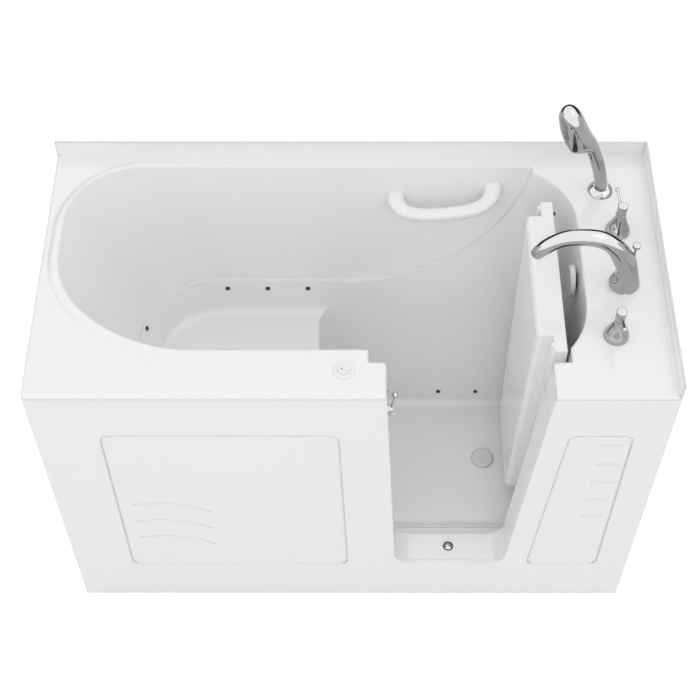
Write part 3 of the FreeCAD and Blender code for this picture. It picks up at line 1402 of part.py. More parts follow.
def equipment_tray():
    low = RAIL_Z + TUBE
    x0 = CROSSBAR_X[0] - TUBE / 2
    x1 = CROSSBAR_X[1] - POST / 2
    return box((x0, BLOWER_Y - TRAY_HALF_DEPTH, low), (x1, BLOWER_Y + TRAY_HALF_DEPTH, low + TRAY_THICK))


def blower():
    """Air blower on its foot: fan housing, motor end and cord gland."""
    foot_z = RAIL_Z + TUBE + TRAY_THICK
    x = front_run().x
    axis_z = blower_axis_z()
    front = BLOWER_Y - BLOWER_LENGTH / 2
    housing = rod(BLOWER_R, BLOWER_LENGTH, V(x, front, axis_z), BACK)
    motor = rod(MOTOR_R, MOTOR_LENGTH, V(x, front - MOTOR_LENGTH, axis_z), BACK)
    foot = box((x - BLOWER_FOOT_HALF, front, foot_z),
               (x + BLOWER_FOOT_HALF, front + BLOWER_LENGTH, foot_z + BLOWER_FOOT + BLOWER_FOOT_RISE))
    gland = rod(GLAND_R, GLAND_LENGTH, V(x, front - MOTOR_LENGTH - GLAND_LENGTH, axis_z), BACK)
    return join([housing, motor, foot, gland])


def front_run():
    """Point on the axis of the front air pipe's level run, which the backrest jets end on."""
    point, way = backrest_jet(1)
    slant = abs(way.y)
    square = math.sqrt(1 - slant ** 2)
    return point + way * (JET_LENGTH + (RISER_R + JET_BODY_R * slant) / square)


def blower_axis_z():
    return RAIL_Z + TUBE + TRAY_THICK + BLOWER_FOOT + BLOWER_R


def back_air_pipe():
    """Blower outlet to the manifold behind the seat."""
    end = manifold_end(seat_back_row(), -1)
    x = front_run().x
    z = blower_axis_z()
    return bent_pipe([V(x, BLOWER_Y + BLOWER_LENGTH / 2, z), V(x, end.y, z), V(x, end.y, end.z), end],
                     RISER_R, RISER_BEND)


def front_air_pipe():
    """Blower top outlet, past the backrest jets, to the manifold in front of the seat."""
    end = manifold_end(seat_front_row(), -1)
    run = front_run()
    y = BLOWER_Y + BLOWER_RISER_INSET
    top = blower_axis_z() + BLOWER_R
    return bent_pipe([V(run.x, y, top), V(run.x, y, run.z), V(run.x, end.y, run.z), V(end.x, end.y, run.z)],
                     RISER_R, RISER_BEND)


def well_air_pipe():
    """Link from the seat manifold down to the footwell manifold."""
    start = manifold_end(seat_back_row(), 1)
    end = manifold_end(well_row(), -1)
    x = (start.x + end.x) / 2
    return bent_pipe([start, V(x, start.y, start.z), V(x, end.y, end.z), end], MANIFOLD_R, RISER_BEND)


def button_place():
    return V(REBATE_LEFT_X - BUTTON_TO_DOORWAY, FRONT_Y + BUTTON_FROM_FRONT, DECK_Z)


def air_button_bezel():
    place = button_place()
    ring = rod(BEZEL_R, BEZEL_HEIGHT, place)
    top = [e for e in ring.Edges if near(e.BoundBox.ZMin, DECK_Z + BEZEL_HEIGHT)]
    ring = ring.makeFillet(BEZEL_ROUND, top)
    sleeve = rod(BEZEL_SLEEVE_R, BEZEL_SLEEVE, place - UP * BEZEL_SLEEVE)
    bore = rod(BUTTON_R + BUTTON_PLAY, BEZEL_HEIGHT + BUTTON_WELL, place - UP * BUTTON_WELL)
    guide = rod(BUTTON_STEM_R + RUN_PLAY, BEZEL_SLEEVE, place - UP * BEZEL_SLEEVE)
    return ring.fuse(sleeve).cut(bore).cut(guide)


def air_button():
    place = button_place()
    low = place - UP * (BUTTON_WELL - BUTTON_TRAVEL - BUTTON_WELL_SPARE)
    cap = rod(BUTTON_R, DECK_Z + BEZEL_HEIGHT + BUTTON_PROUD - low.z, low)
    top = [e for e in cap.Edges if near(e.BoundBox.ZMin, DECK_Z + BEZEL_HEIGHT + BUTTON_PROUD)]
    cap = cap.makeFillet(BUTTON_ROUND, top)
    length = BUTTON_STEM - BUTTON_WELL
    return cap.fuse(rod(BUTTON_STEM_R, length, low - UP * length)).removeSplitter()


def hot_valve_bell():
    return valve_bell(HOT_PLACE)


def cold_valve_bell():
    return valve_bell(COLD_PLACE)


def hot_valve():
    return valve_body(HOT_PLACE)


def cold_valve():
    return valve_body(COLD_PLACE)


def hot_handle():
    return lever_handle(HOT_PLACE, HOT_LEVER_DEG)


def cold_handle():
    return lever_handle(COLD_PLACE, COLD_LEVER_DEG)


def seat_back_manifold():
    return manifold(seat_back_row())


def seat_front_manifold():
    return capped_manifold(seat_front_row())


def well_manifold():
    return manifold(well_row())


PIECES = (
    tub_shell, front_apron, door_frame, left_end_panel, left_access_panel, right_access_panel, panel_clips,
    door_panel, door_seal, door_bumper, hinge_door_leaves, hinge_pins, hinge_frame_leaves,
    latch_base, latch_screw, latch_lever, sill_dome, grab_bar, air_button_bezel, air_button,
    spout, spout_aerator, diverter_knob, hot_valve_bell, cold_valve_bell, hot_valve, cold_valve,
    hot_handle, cold_handle, deck_nuts, supply_tails, crossover_pipes, shower_holder, hand_shower, spray_plate,
    overflow_body, overflow_knob, overflow_pipe, drain_body, drain_nut, drain_stopper, waste_tee,
    air_jets, seat_back_manifold, seat_front_manifold, well_manifold, back_air_pipe, front_air_pipe, well_air_pipe,
    blower, equipment_tray, frame_rails, frame_crossbars, frame_uprights, basin_supports, levelling_feet,
    foot_lock_nuts)


def main():
    os.makedirs("parts", exist_ok=True)
    for piece in PIECES:
        shape = piece()
        if not shape.isValid():
            print(piece.__name__, "is not valid")
        shape.exportStep("parts/" + piece.__name__ + ".step")
        print(piece.__name__, len(shape.Solids), round(shape.Volume))


if __name__ == "__main__":
    main()
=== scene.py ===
import math

import bmesh
import bpy
from bpy.props import FloatProperty, FloatVectorProperty, IntProperty, PointerProperty
from mathutils import Matrix, Vector
from mathutils.geometry import convex_hull_2d


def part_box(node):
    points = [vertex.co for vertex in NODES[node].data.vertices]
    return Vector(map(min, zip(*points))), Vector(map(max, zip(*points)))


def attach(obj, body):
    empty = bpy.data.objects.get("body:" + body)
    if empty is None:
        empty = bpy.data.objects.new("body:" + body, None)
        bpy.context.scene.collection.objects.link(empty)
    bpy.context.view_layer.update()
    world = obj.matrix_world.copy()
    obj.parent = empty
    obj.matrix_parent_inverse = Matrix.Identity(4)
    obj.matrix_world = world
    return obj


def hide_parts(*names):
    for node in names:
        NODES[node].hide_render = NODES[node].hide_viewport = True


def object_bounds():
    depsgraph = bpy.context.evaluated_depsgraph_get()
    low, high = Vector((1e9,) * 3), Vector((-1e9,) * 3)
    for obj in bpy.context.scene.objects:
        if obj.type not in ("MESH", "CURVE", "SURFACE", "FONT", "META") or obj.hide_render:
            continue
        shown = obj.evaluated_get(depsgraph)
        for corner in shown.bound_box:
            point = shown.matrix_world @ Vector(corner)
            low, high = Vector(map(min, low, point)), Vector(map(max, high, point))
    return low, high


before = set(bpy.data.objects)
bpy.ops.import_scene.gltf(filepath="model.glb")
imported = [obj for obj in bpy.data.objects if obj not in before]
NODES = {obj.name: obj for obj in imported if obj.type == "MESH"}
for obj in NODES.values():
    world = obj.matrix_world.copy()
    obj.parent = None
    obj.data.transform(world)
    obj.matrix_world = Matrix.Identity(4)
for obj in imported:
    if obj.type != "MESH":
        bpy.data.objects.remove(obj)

bl_info = {
    "name": "Walk-in Air Bath",
    "version": (1, 0, 0),
    "blender": (4, 5, 0),
    "location": "View3D > Sidebar > Bath",
    "description": "Finishes, small fittings and a studio for a walk-in air bath",
    "category": "Object",
}

CAD_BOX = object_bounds()
SMOOTH_UP_TO = 38  # degrees between faces that are still shaded as one surface
NEAR = 0.001  # metres that count as the same place


# Sizes and colours that a user would change

def colour(name, text, value):
    return FloatVectorProperty(name=name, description=text, default=value,
                               subtype="COLOR", size=3, min=0, max=1)


def length(name, text, value):
    return FloatProperty(name=name, description=text, default=value,
                         subtype="DISTANCE", unit="LENGTH", min=0)


def coordinates(name, text, value):
    return FloatVectorProperty(name=name, description=text, default=value,
                               subtype="TRANSLATION", unit="LENGTH")


def count(name, text, value, most):
    return IntProperty(name=name, description=text, default=value, min=1, max=most)


def level(name, text, value, unit="NONE"):
    return FloatProperty(name=name, description=text, default=value, unit=unit, min=0)


class BathFinish(bpy.types.PropertyGroup):
    """Colours and gloss of the finishes."""
    gelcoat: colour("Gelcoat", "Colour of the moulded shell, door and door frame",
                    (0.87, 0.87, 0.87))
    panel: colour("Panels", "Colour of the apron and its access panels", (0.86, 0.86, 0.86))
    fitting: colour("White fittings", "Colour of the grab bar, air button and overflow cover",
                    (0.84, 0.84, 0.835))
    chrome: colour("Chrome", "Colour of the polished metal", (0.42, 0.425, 0.43))
    steel: colour("Steel", "Colour of the hinges", (0.50, 0.50, 0.50))
    zinc: colour("Zinc", "Colour of the coated frame tubes", (0.42, 0.44, 0.46))
    satin: colour("Satin metal", "Colour of the drain's cover and rim", (0.60, 0.60, 0.60))
    seal: colour("Seal", "Colour of the door seal", (0.76, 0.76, 0.74))
    # Panel trim is painted shade: its mid grey stands for the shaded gap over and beside each
    # access panel
    trim: colour("Panel trim", "Colour of the bead round an access panel", (0.58, 0.58, 0.575))
    rubber: colour("Dark rubber", "Colour of the door bumper and the feet", (0.018, 0.018, 0.018))
    spray: colour("Spray face", "Colour of the spray plate and the aerator", (0.20, 0.205, 0.21))
    pipe: colour("Pipe", "Colour of the air pipes", (0.72, 0.72, 0.70))
    waste: colour("Waste pipe", "Colour of the waste and overflow pipes", (0.020, 0.020, 0.021))
    brass: colour("Brass", "Colour of the valve bodies", (0.60, 0.42, 0.16))
    copper: colour("Copper", "Colour of the supply tails", (0.62, 0.28, 0.15))
    motor: colour("Motor", "Colour of the blower housing", (0.10, 0.105, 0.11))
    gloss: FloatProperty(name="Gelcoat roughness", default=0.17, min=0, max=1, subtype="FACTOR",
                         description="Roughness of the moulded white parts")
    shell_edge: length("Shell edge", "How far light sees an edge of the shell as rounded", 0.010)
    door_edge: length("Door edge", "How far light sees an edge of the door as rounded", 0.004)


class BathFittings(bpy.types.PropertyGroup):
    """Sizes of the small fittings."""
    spray_long: length("Spray plate length", "Length of the hand shower's spray plate", 0.084)
    spray_wide: length("Spray plate width", "Width of the hand shower's spray plate", 0.047)
    nozzle: length("Nozzle", "Width of one spray nozzle", 0.0044)
    nozzle_rings: count("Nozzle rings", "Rings of nozzles on the spray plate", 3, 6)
    trim: length("Panel trim", "Width of the bead round an access panel", 0.0036)
    knob: length("Latch knob", "Width of the ball on the latch's lever", 0.0160)
    screw: length("Screw", "Width of a hinge screw's head", 0.0080)
    bolt: length("Bolt", "Width across a bolt's head", 0.013)
    weld: length("Weld", "Width of a weld bead on the frame", 0.006)
    clamp: length("Clamp", "Width of the band of a pipe clamp", 0.012)
    fin: length("Fin", "Height of the motor's cooling fins", 0.004)
    fins: count("Fins", "Cooling fins round the motor", 8, 20)


class BathStage(bpy.types.PropertyGroup):
    """Camera, lamps and floor."""
    eye: coordinates("Eye", "Where the camera stands", (-0.00115, -2.2041, 3.7419))
    aim: coordinates("Aim", "What the camera looks at", (-0.0026, 0.0, 0.508))
    lens: FloatProperty(name="Lens", description="Focal length", default=73.44, min=10,
                        unit="CAMERA")
    rise: FloatProperty(name="Rise", description="Upward shift of the frame", default=0.05,
                        min=-1, max=1)
    sky: level("Sky", "Strength of the light from all round", 0.90)
    key: level("Key", "Power of the large lamp in front", 16.0, "POWER")
    fill: level("Fill", "Power of the lamp over the taps", 6.0, "POWER")
    softbox: level("Softbox", "Strength of the card that the metal reflects", 1.9)


# Shader maths

class Value:
    """One output of a node; arithmetic on it adds Math nodes."""

    def __init__(self, finish, socket):
        self.finish = finish
        self.socket = socket

    def sum(self, operation, first, second):
        return self.finish.node("ShaderNodeMath", {"operation": operation}, {0: first, 1: second})

    def __add__(self, other):
        return self.sum("ADD", self, other)

    def __radd__(self, other):
        return self.sum("ADD", other, self)

    def __sub__(self, other):
        return self.sum("SUBTRACT", self, other)

    def __rsub__(self, other):
        return self.sum("SUBTRACT", other, self)

    def __mul__(self, other):
        return self.sum("MULTIPLY", self, other)

    def __rmul__(self, other):
        return self.sum("MULTIPLY", other, self)


class Nodes:
    """The nodes of a material or of the sky."""

    def __init__(self, owner):
        owner.use_nodes = True
        self.tree = owner.node_tree
        self.tree.nodes.clear()

    def node(self, kind, settings, inputs, output=0):
        """Adds a node: its settings first, then the values or links of its sockets."""
        made = self.tree.nodes.new(kind)
        for key, value in settings.items():
            if key == "stops":
                self.stops(made.color_ramp, value)
            else:
                setattr(made, key, value)
        for key, value in inputs.items():
            if isinstance(value, Value):
                self.tree.links.new(value.socket, made.inputs[key])
            else:
                made.inputs[key].default_value = value
        return Value(self, made.outputs[output]) if made.outputs else None

    @staticmethod
    def stops(ramp, values):
        while len(ramp.elements) < len(values):
            ramp.elements.new(1.0)
        for element, (position, grey) in zip(ramp.elements, values):
            element.position = position
            element.color = (grey, grey, grey, 1)


class Finish(Nodes):
    """A material and its usual nodes."""

    def __init__(self, name):
        self.material = bpy.data.materials.new(name)
        super().__init__(self.material)
        self.place = self.node("ShaderNodeTexCoord", {}, {}, "Object")

    def noise(self, scale, detail=2.0, rough=0.5, place=None):
        inputs = {"Vector": place or self.place, "Scale": scale, "Detail": detail,
                  "Roughness": rough}
        return self.node("ShaderNodeTexNoise", {}, inputs, "Fac")

    def cells(self, scale):
        inputs = {"Vector": self.place, "Scale": scale}
        return self.node("ShaderNodeTexVoronoi", {}, inputs, "Color")

    def ramp(self, value, stops):
        return self.node("ShaderNodeValToRGB", {"stops": stops}, {"Fac": value})

    def stretched(self, x, y, z):
        inputs = {"Vector": self.place, "Scale": (x, y, z)}
        return self.node("ShaderNodeMapping", {}, inputs)

    def mix(self, share, first, second):
        """Blends two colours."""
        first = first if isinstance(first, Value) else (*first, 1)
        second = second if isinstance(second, Value) else (*second, 1)
        inputs = {0: share, 6: first, 7: second}
        return self.node("ShaderNodeMix", {"data_type": "RGBA"}, inputs, 2)

    def bump(self, height, depth, strength, under=None):
        inputs = {"Height": height, "Distance": depth, "Strength": strength}
        if under:
            inputs["Normal"] = under
        return self.node("ShaderNodeBump", {}, inputs)

    def rounded(self, radius):
        return self.node("ShaderNodeBevel", {"samples": 6}, {"Radius": radius})

    def surface(self, **inputs):
        """Closes the material; a key such as base_color names the shader's socket."""
        named = {key.replace("_", " ").title().replace("Ior", "IOR"): value
                 for key, value in inputs.items()}
        for key in ("Base Color", "Emission Color"):
            if key in named and not isinstance(named[key], Value):
                named[key] = (*named[key], 1)
        shader = self.node("ShaderNodeBsdfPrincipled", {}, named)
        self.node("ShaderNodeOutputMaterial", {}, {"Surface": shader})
        return self.material


def shade(value, factor):
    return tuple(min(1.0, channel * factor) for channel in value)


# Finishes: noise scales are in waves per metre, bump depths in metres

def moulded_white(name, base, rough, edge, peel):
    """Sprayed gelcoat: faint clouding, a soft peel in the gloss and rounded edges."""
    finish = Finish(name)
    cloud = finish.noise(scale=2.4, detail=3.0)
    fine = finish.noise(scale=peel, detail=2.0, rough=0.4)
    film = finish.noise(scale=9.0, detail=4.0, rough=0.6)
    return finish.surface(
        base_color=finish.mix(cloud, shade(base, 0.985), shade(base, 1.012)),
        roughness=rough - 0.05 + film * 0.10,
        normal=finish.bump(fine, depth=0.00004, strength=0.35, under=finish.rounded(edge)),
        coat_weight=0.18, coat_roughness=0.08, specular_ior_level=0.40)


def satin_metal(name, base, rough):
    """Fine matt plating that has been wiped in all directions."""
    finish = Finish(name)
    haze = finish.noise(scale=45.0, detail=4.0, rough=0.6)
    grit = finish.noise(scale=2200.0, detail=2.0)
    return finish.surface(
        base_color=finish.mix(haze, shade(base, 0.95), shade(base, 1.05)),
        metallic=0.55, roughness=rough + haze * 0.10,
        normal=finish.bump(grit, depth=0.00003, strength=0.3))


def polished_metal(name, base, rough):
    """Plated and polished, with a trace of handling in the gloss."""
    finish = Finish(name)
    smear = finish.ramp(finish.noise(scale=38.0, detail=5.0, rough=0.65),
                        [(0.35, 0.0), (0.75, 1.0)])
    wave = finish.noise(scale=60.0, detail=1.0)
    return finish.surface(
        base_color=finish.mix(smear, base, shade(base, 0.94)),
        metallic=1.0, roughness=rough + finish.noise(scale=120.0, detail=3.0) * rough,
        normal=finish.bump(wave, depth=0.00002, strength=0.25))


def brushed_metal(name, base, rough, along):
    """Fine lines along one direction."""
    finish = Finish(name)
    lines = finish.noise(scale=1.0, detail=3.0, rough=0.7, place=finish.stretched(*along))
    return finish.surface(
        base_color=finish.mix(lines, shade(base, 0.82), shade(base, 1.15)),
        metallic=1.0, roughness=rough + lines * 0.14,
        normal=finish.bump(lines, depth=0.00005, strength=0.3))


def zinc_coat(name, base):
    """Hot-dipped zinc: crystals of slightly different greys and a dull bloom."""
    finish = Finish(name)
    grey = finish.node("ShaderNodeRGBToBW", {}, {"Color": finish.cells(scale=85.0)})
    bloom = finish.noise(scale=14.0, detail=4.0, rough=0.6)
    tone = grey * 0.7 + bloom * 0.3
    return finish.surface(
        base_color=finish.mix(tone, shade(base, 0.72), shade(base, 1.3)),
        metallic=0.85, roughness=0.34 + grey * 0.14 + bloom * 0.08,
        normal=finish.bump(bloom, depth=0.0003, strength=0.2))


def moulded_plastic(name, base, rough, grain, edge=0.0012):
    """Spark-eroded mould grain with a slight shine on the edges."""
    finish = Finish(name)
    speck = finish.noise(scale=grain, detail=3.0, rough=0.6)
    cloud = finish.noise(scale=7.0, detail=3.0)
    return finish.surface(
        base_color=finish.mix(cloud, shade(base, 0.92), shade(base, 1.08)),
        roughness=rough - 0.06 + speck * 0.14,
        normal=finish.bump(speck, depth=0.00008, strength=0.4, under=finish.rounded(edge)))


def soft_rubber(name, base, rough):
    """Dull rubber with a dusty bloom."""
    finish = Finish(name)
    bloom = finish.noise(scale=30.0, detail=5.0, rough=0.7)
    fine = finish.noise(scale=1400.0, detail=2.0)
    dust = finish.ramp(bloom, [(0.45, 0.0), (0.8, 1.0)])
    return finish.surface(
        base_color=finish.mix(dust, base, shade(base, 1.35)),
        roughness=rough + bloom * 0.12,
        normal=finish.bump(fine, depth=0.00008, strength=0.35))


def aged_metal(name, base, rough):
    """Bare cast or drawn metal with darker patches where it has been handled."""
    finish = Finish(name)
    patch = finish.ramp(finish.noise(scale=26.0, detail=5.0, rough=0.65),
                        [(0.4, 0.0), (0.72, 1.0)])
    pits = finish.noise(scale=500.0, detail=2.0)
    return finish.surface(
        base_color=finish.mix(patch, base, shade(base, 0.62)),
        metallic=1.0, roughness=rough + patch * 0.2,
        normal=finish.bump(pits, depth=0.0001, strength=0.3))


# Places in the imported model

def corners_of(name):
    """Lowest and highest corner of a CAD node."""
    return [Vector(corner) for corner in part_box(name)]


def solids(name):
    """Lowest and highest corner of each separate solid of a CAD node."""
    mesh = NODES[name].data
    spots = {}
    owner = []
    spot_of = []
    for vertex in mesh.vertices:
        key = tuple(round(value, 5) for value in vertex.co)
        if key not in spots:
            spots[key] = len(owner)
            owner.append(len(owner))
        spot_of.append(spots[key])

    def root(spot):
        while owner[spot] != spot:
            spot = owner[spot]
        return spot

    for polygon in mesh.polygons:
        first = root(spot_of[polygon.vertices[0]])
        for vertex in polygon.vertices:
            owner[root(spot_of[vertex])] = first
    groups = {}
    for vertex, spot in zip(mesh.vertices, spot_of):
        groups.setdefault(root(spot), []).append(vertex.co)
    return [(Vector(map(min, zip(*points))), Vector(map(max, zip(*points))))
            for points in groups.values()]


def widest_face(name, toward):
    """Centre, outward direction and corners of a node's widest flat face toward a side."""
    mesh = NODES[name].data
    groups = {}
    for polygon in mesh.polygons:
        if polygon.normal.dot(toward) > 0.3:
            way = tuple(round(value, 2) for value in polygon.normal)
            groups.setdefault(way, []).append(polygon)
    widest = max(groups.values(), key=lambda group: sum(polygon.area for polygon in group))
    area = sum(polygon.area for polygon in widest)
    centre = sum((polygon.center * polygon.area for polygon in widest), Vector()) / area
    corners = [mesh.vertices[i].co for polygon in widest for i in polygon.vertices]
    return centre, widest[0].normal.copy(), corners


def facing(origin, way):
    """Frame whose Z axis points along way."""
    turn = Vector(way).to_track_quat("Z", "Y").to_matrix().to_4x4()
    return Matrix.Translation(origin) @ turn


# Mesh helpers

def piece(name, mesh, material, body, sharp=SMOOTH_UP_TO):
    """Links a finished mesh as a piece that moves with a body."""
    data = bpy.data.meshes.new(name)
    bmesh.ops.recalc_face_normals(mesh, faces=mesh.faces)
    mesh.to_mesh(data)
    mesh.free()
    data.materials.append(bpy.data.materials[material])
    data.shade_smooth()
    data.set_sharp_from_angle(angle=math.radians(sharp))
    made = bpy.data.objects.new(name, data)
    bpy.context.scene.collection.objects.link(made)
    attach(made, body)
    return made


def turns_of(sides):
    return [2 * math.pi * i / sides for i in range(sides)]


def ring_into(mesh, place, points):
    return [mesh.verts.new(place @ Vector(point)) for point in points]


def band_into(mesh, near, far):
    """Faces between two rings of equal count."""
    for i in range(len(near)):
        j = (i + 1) % len(near)
        mesh.faces.new((near[i], near[j], far[j], far[i]))


def skin_into(mesh, rings):
    """Closes a row of rings of equal count into one solid."""
    for low, high in zip(rings, rings[1:]):
        band_into(mesh, low, high)
    mesh.faces.new(list(reversed(rings[0])))
    mesh.faces.new(rings[-1])


def turned_into(mesh, profile, place, sides):
    """Adds a solid turned about the Z axis of place, from (radius, height) points."""
    rings = []
    for r, height in profile:
        points = [(r * math.cos(turn), r * math.sin(turn), height) for turn in turns_of(sides)]
        rings.append(ring_into(mesh, place, points))
    skin_into(mesh, rings)


def hoop_into(mesh, inner, outer, low, high, place, sides):
    """Adds a flat hoop about the Z axis of place."""
    profile = ((inner, low), (outer, low), (outer, high), (inner, high))
    rings = []
    for turn in turns_of(sides):
        points = [(r * math.cos(turn), r * math.sin(turn), height) for r, height in profile]
        rings.append(ring_into(mesh, place, points))
    for near, far in zip(rings, rings[1:] + rings[:1]):
        band_into(mesh, near, far)


def scaled(profile, r):
    return [(r * radius, r * height) for radius, height in profile]


def screw_into(mesh, place, width):
    """Pan head with a socket in its middle."""
    profile = ((1, 0), (1, 0.20), (0.86, 0.34), (0.42, 0.40), (0.36, 0.10))
    turned_into(mesh, scaled(profile, width / 2), place, sides=18)


def bolt_into(mesh, place, width):
    """Washer under a six-sided head with its corners turned off."""
    r = width / 2 / math.cos(math.pi / 6)
    washer = ((1.5, -0.02), (1.5, 0.16), (1.44, 0.22))
    head = ((1, 0.2), (1, 0.95), (0.84, 1.1))
    turned_into(mesh, scaled(washer, r), place, sides=24)
    turned_into(mesh, scaled(head, r), place, sides=6)


def bead_into(mesh, start, end, width):
    """Rippled weld bead along a line."""
    pitch, tip, valley = 0.42, 0.55, 0.86  # shares of the bead's width
    run = end - start
    ripples = max(4, round(run.length / (pitch * width)))
    place = facing(start, run)
    rings = []
    for step in range(ripples + 1):
        share = tip if step in (0, ripples) else valley + (1 - valley) * (step % 2)
        r = width / 2 * share
        height = run.length * step / ripples
        points = [(r * math.cos(turn), r * math.sin(turn), height) for turn in turns_of(8)]
        rings.append(ring_into(mesh, place, points))
    skin_into(mesh, rings)


def block_into(mesh, place, size, bevel):
    """Small block with bevelled edges, in sorted order, because the bevel's own order varies."""
    block = bmesh.new()
    bmesh.ops.create_cube(block, size=1.0, matrix=Matrix.Diagonal((*size, 1)))
    bmesh.ops.bevel(block, geom=list(block.edges), offset=bevel, segments=2, affect="EDGES")
    spots = sorted(block.verts, key=lambda spot: tuple(round(value, 6) for value in spot.co))
    order = {spot: i for i, spot in enumerate(spots)}
    corners = ring_into(mesh, place, [spot.co for spot in spots])
    faces = []
    for face in block.faces:
        loop = [order[spot] for spot in face.verts]
        first = loop.index(min(loop))
        faces.append(loop[first:] + loop[:first])
    for loop in sorted(faces):
        mesh.faces.new([corners[i] for i in loop])
    block.free()


def clamp_into(mesh, place, radius, width):
    """Steel band round a pipe, with the housing and the head of its worm screw."""
    thick, bite = 0.0009, 0.0004
    hoop_into(mesh, radius - bite, radius + thick, -width / 2, width / 2, place, sides=40)
    housing = place @ Matrix.Translation((radius + 0.0035, 0, 0))
    block_into(mesh, housing, (0.0066, 0.0130, width * 0.86), 0.0012)
    across = Matrix.Rotation(-math.pi / 2, 4, "X")
    head = housing @ Matrix.Translation((0.0008, 0.0064, 0)) @ across
    profile = ((0.0034, 0), (0.0034, 0.0046), (0.0028, 0.0054), (0.0012, 0.0054),
               (0.0011, 0.0036))
    turned_into(mesh, profile, head, sides=12)


def dress(names, material):
    """Gives CAD nodes one finish."""
    for name in names:
        slots = NODES[name].data.materials
        slots.clear()
        slots.append(material)


# Operators

class BATH_OT_moulded(bpy.types.Operator):
    """Finish the moulded white shell, door, apron and panels"""
    bl_idname = "bath.moulded"
    bl_label = "Moulded white parts"

    PEEL = 700.0
    PANEL_PEEL = 520.0
    PANEL_DULLER = 0.05
    PANEL_CRISPER = 0.7

    def execute(self, context):
        look = context.scene.bath_finish
        shell = moulded_white("shell_gelcoat", look.gelcoat, look.gloss, look.shell_edge,
                              self.PEEL)
        door = moulded_white("door_gelcoat", look.gelcoat, look.gloss, look.door_edge, self.PEEL)
        panel = moulded_white("apron_gelcoat", look.panel, look.gloss + self.PANEL_DULLER,
                              look.door_edge * self.PANEL_CRISPER, self.PANEL_PEEL)
        dress(("tub_shell",), shell)
        dress(("door_frame", "door_panel"), door)
        dress(("front_apron", "left_end_panel", "left_access_panel", "right_access_panel"), panel)
        return {"FINISHED"}


class BATH_OT_white_fittings(bpy.types.Operator):
    """Finish the grab bar, the air button, the overflow cover and the panel clips"""
    bl_idname = "bath.white_fittings"
    bl_label = "White fittings"

    def execute(self, context):
        look = context.scene.bath_finish
        bar = moulded_white("bar_coating", look.fitting, rough=0.28, edge=0.002, peel=900.0)
        cap = moulded_plastic("white_cap", look.fitting, rough=0.24, grain=1600.0)
        clip = moulded_plastic("clip_nylon", shade(look.fitting, 0.85), rough=0.42, grain=900.0)
        dress(("grab_bar",), bar)
        dress(("air_button_bezel", "air_button", "overflow_knob"), cap)
        dress(("panel_clips",), clip)
        return {"FINISHED"}


class BATH_OT_metal(bpy.types.Operator):
    """Finish the chrome, the hinges, the valves and the steel frame"""
    bl_idname = "bath.metal"
    bl_label = "Metal"

    UPRIGHT_LINES = (60.0, 60.0, 900.0)

    def execute(self, context):
        look = context.scene.bath_finish
        chrome = polished_metal("polished_chrome", look.chrome, rough=0.035)
        steel = brushed_metal("hinge_steel", look.steel, rough=0.22, along=self.UPRIGHT_LINES)
        zinc = zinc_coat("zinc_tube", look.zinc)
        satin = satin_metal("drain_satin", look.satin, rough=0.38)
        brass = aged_metal("valve_brass", look.brass, rough=0.24)
        copper = aged_metal("supply_copper", look.copper, rough=0.22)
        dress(("latch_base", "latch_screw", "latch_lever", "sill_dome", "spout", "diverter_knob",
               "hot_valve_bell", "cold_valve_bell", "hot_handle", "cold_handle", "shower_holder",
               "hand_shower"), chrome)
        dress(("drain_stopper", "drain_body"), satin)
        dress(("hinge_door_leaves", "hinge_pins", "hinge_frame_leaves", "foot_lock_nuts"), steel)
        dress(("frame_rails", "frame_crossbars", "frame_uprights", "basin_supports",
               "equipment_tray"), zinc)
        dress(("hot_valve", "cold_valve", "deck_nuts", "drain_nut"), brass)
        dress(("supply_tails", "crossover_pipes"), copper)
        return {"FINISHED"}


class BATH_OT_plastic(bpy.types.Operator):
    """Finish the pipes, jets, blower, seal and feet"""
    bl_idname = "bath.plastic"
    bl_label = "Pipes, jets and rubber"

    SMALL_EDGE = 0.0006

    def execute(self, context):
        look = context.scene.bath_finish
        pipe = moulded_plastic("air_pipe", look.pipe, rough=0.42, grain=420.0)
        waste = moulded_plastic("waste_pipe", look.waste, rough=0.46, grain=500.0)
        jet = moulded_plastic("jet_nozzle", look.waste, rough=0.30, grain=1500.0,
                              edge=self.SMALL_EDGE)
        motor = moulded_plastic("blower_case", look.motor, rough=0.40, grain=700.0)
        spray = moulded_plastic("spray_face", look.spray, rough=0.34, grain=1500.0,
                                edge=self.SMALL_EDGE)
        seal = soft_rubber("door_gasket", look.seal, rough=0.55)
        # The grey bead's finish: painted shade of the gap round the access panels
        soft_rubber("painted_gap_shade", look.trim, rough=0.50)
        dark = soft_rubber("black_rubber", look.rubber, rough=0.62)
        dress(("seat_back_manifold", "seat_front_manifold", "well_manifold", "back_air_pipe",
               "front_air_pipe", "well_air_pipe"), pipe)
        dress(("overflow_body", "overflow_pipe", "waste_tee"), waste)
        dress(("air_jets",), jet)
        dress(("blower",), motor)
        dress(("spray_plate", "spout_aerator"), spray)
        dress(("door_seal",), seal)
        dress(("door_bumper", "levelling_feet"), dark)
        return {"FINISHED"}


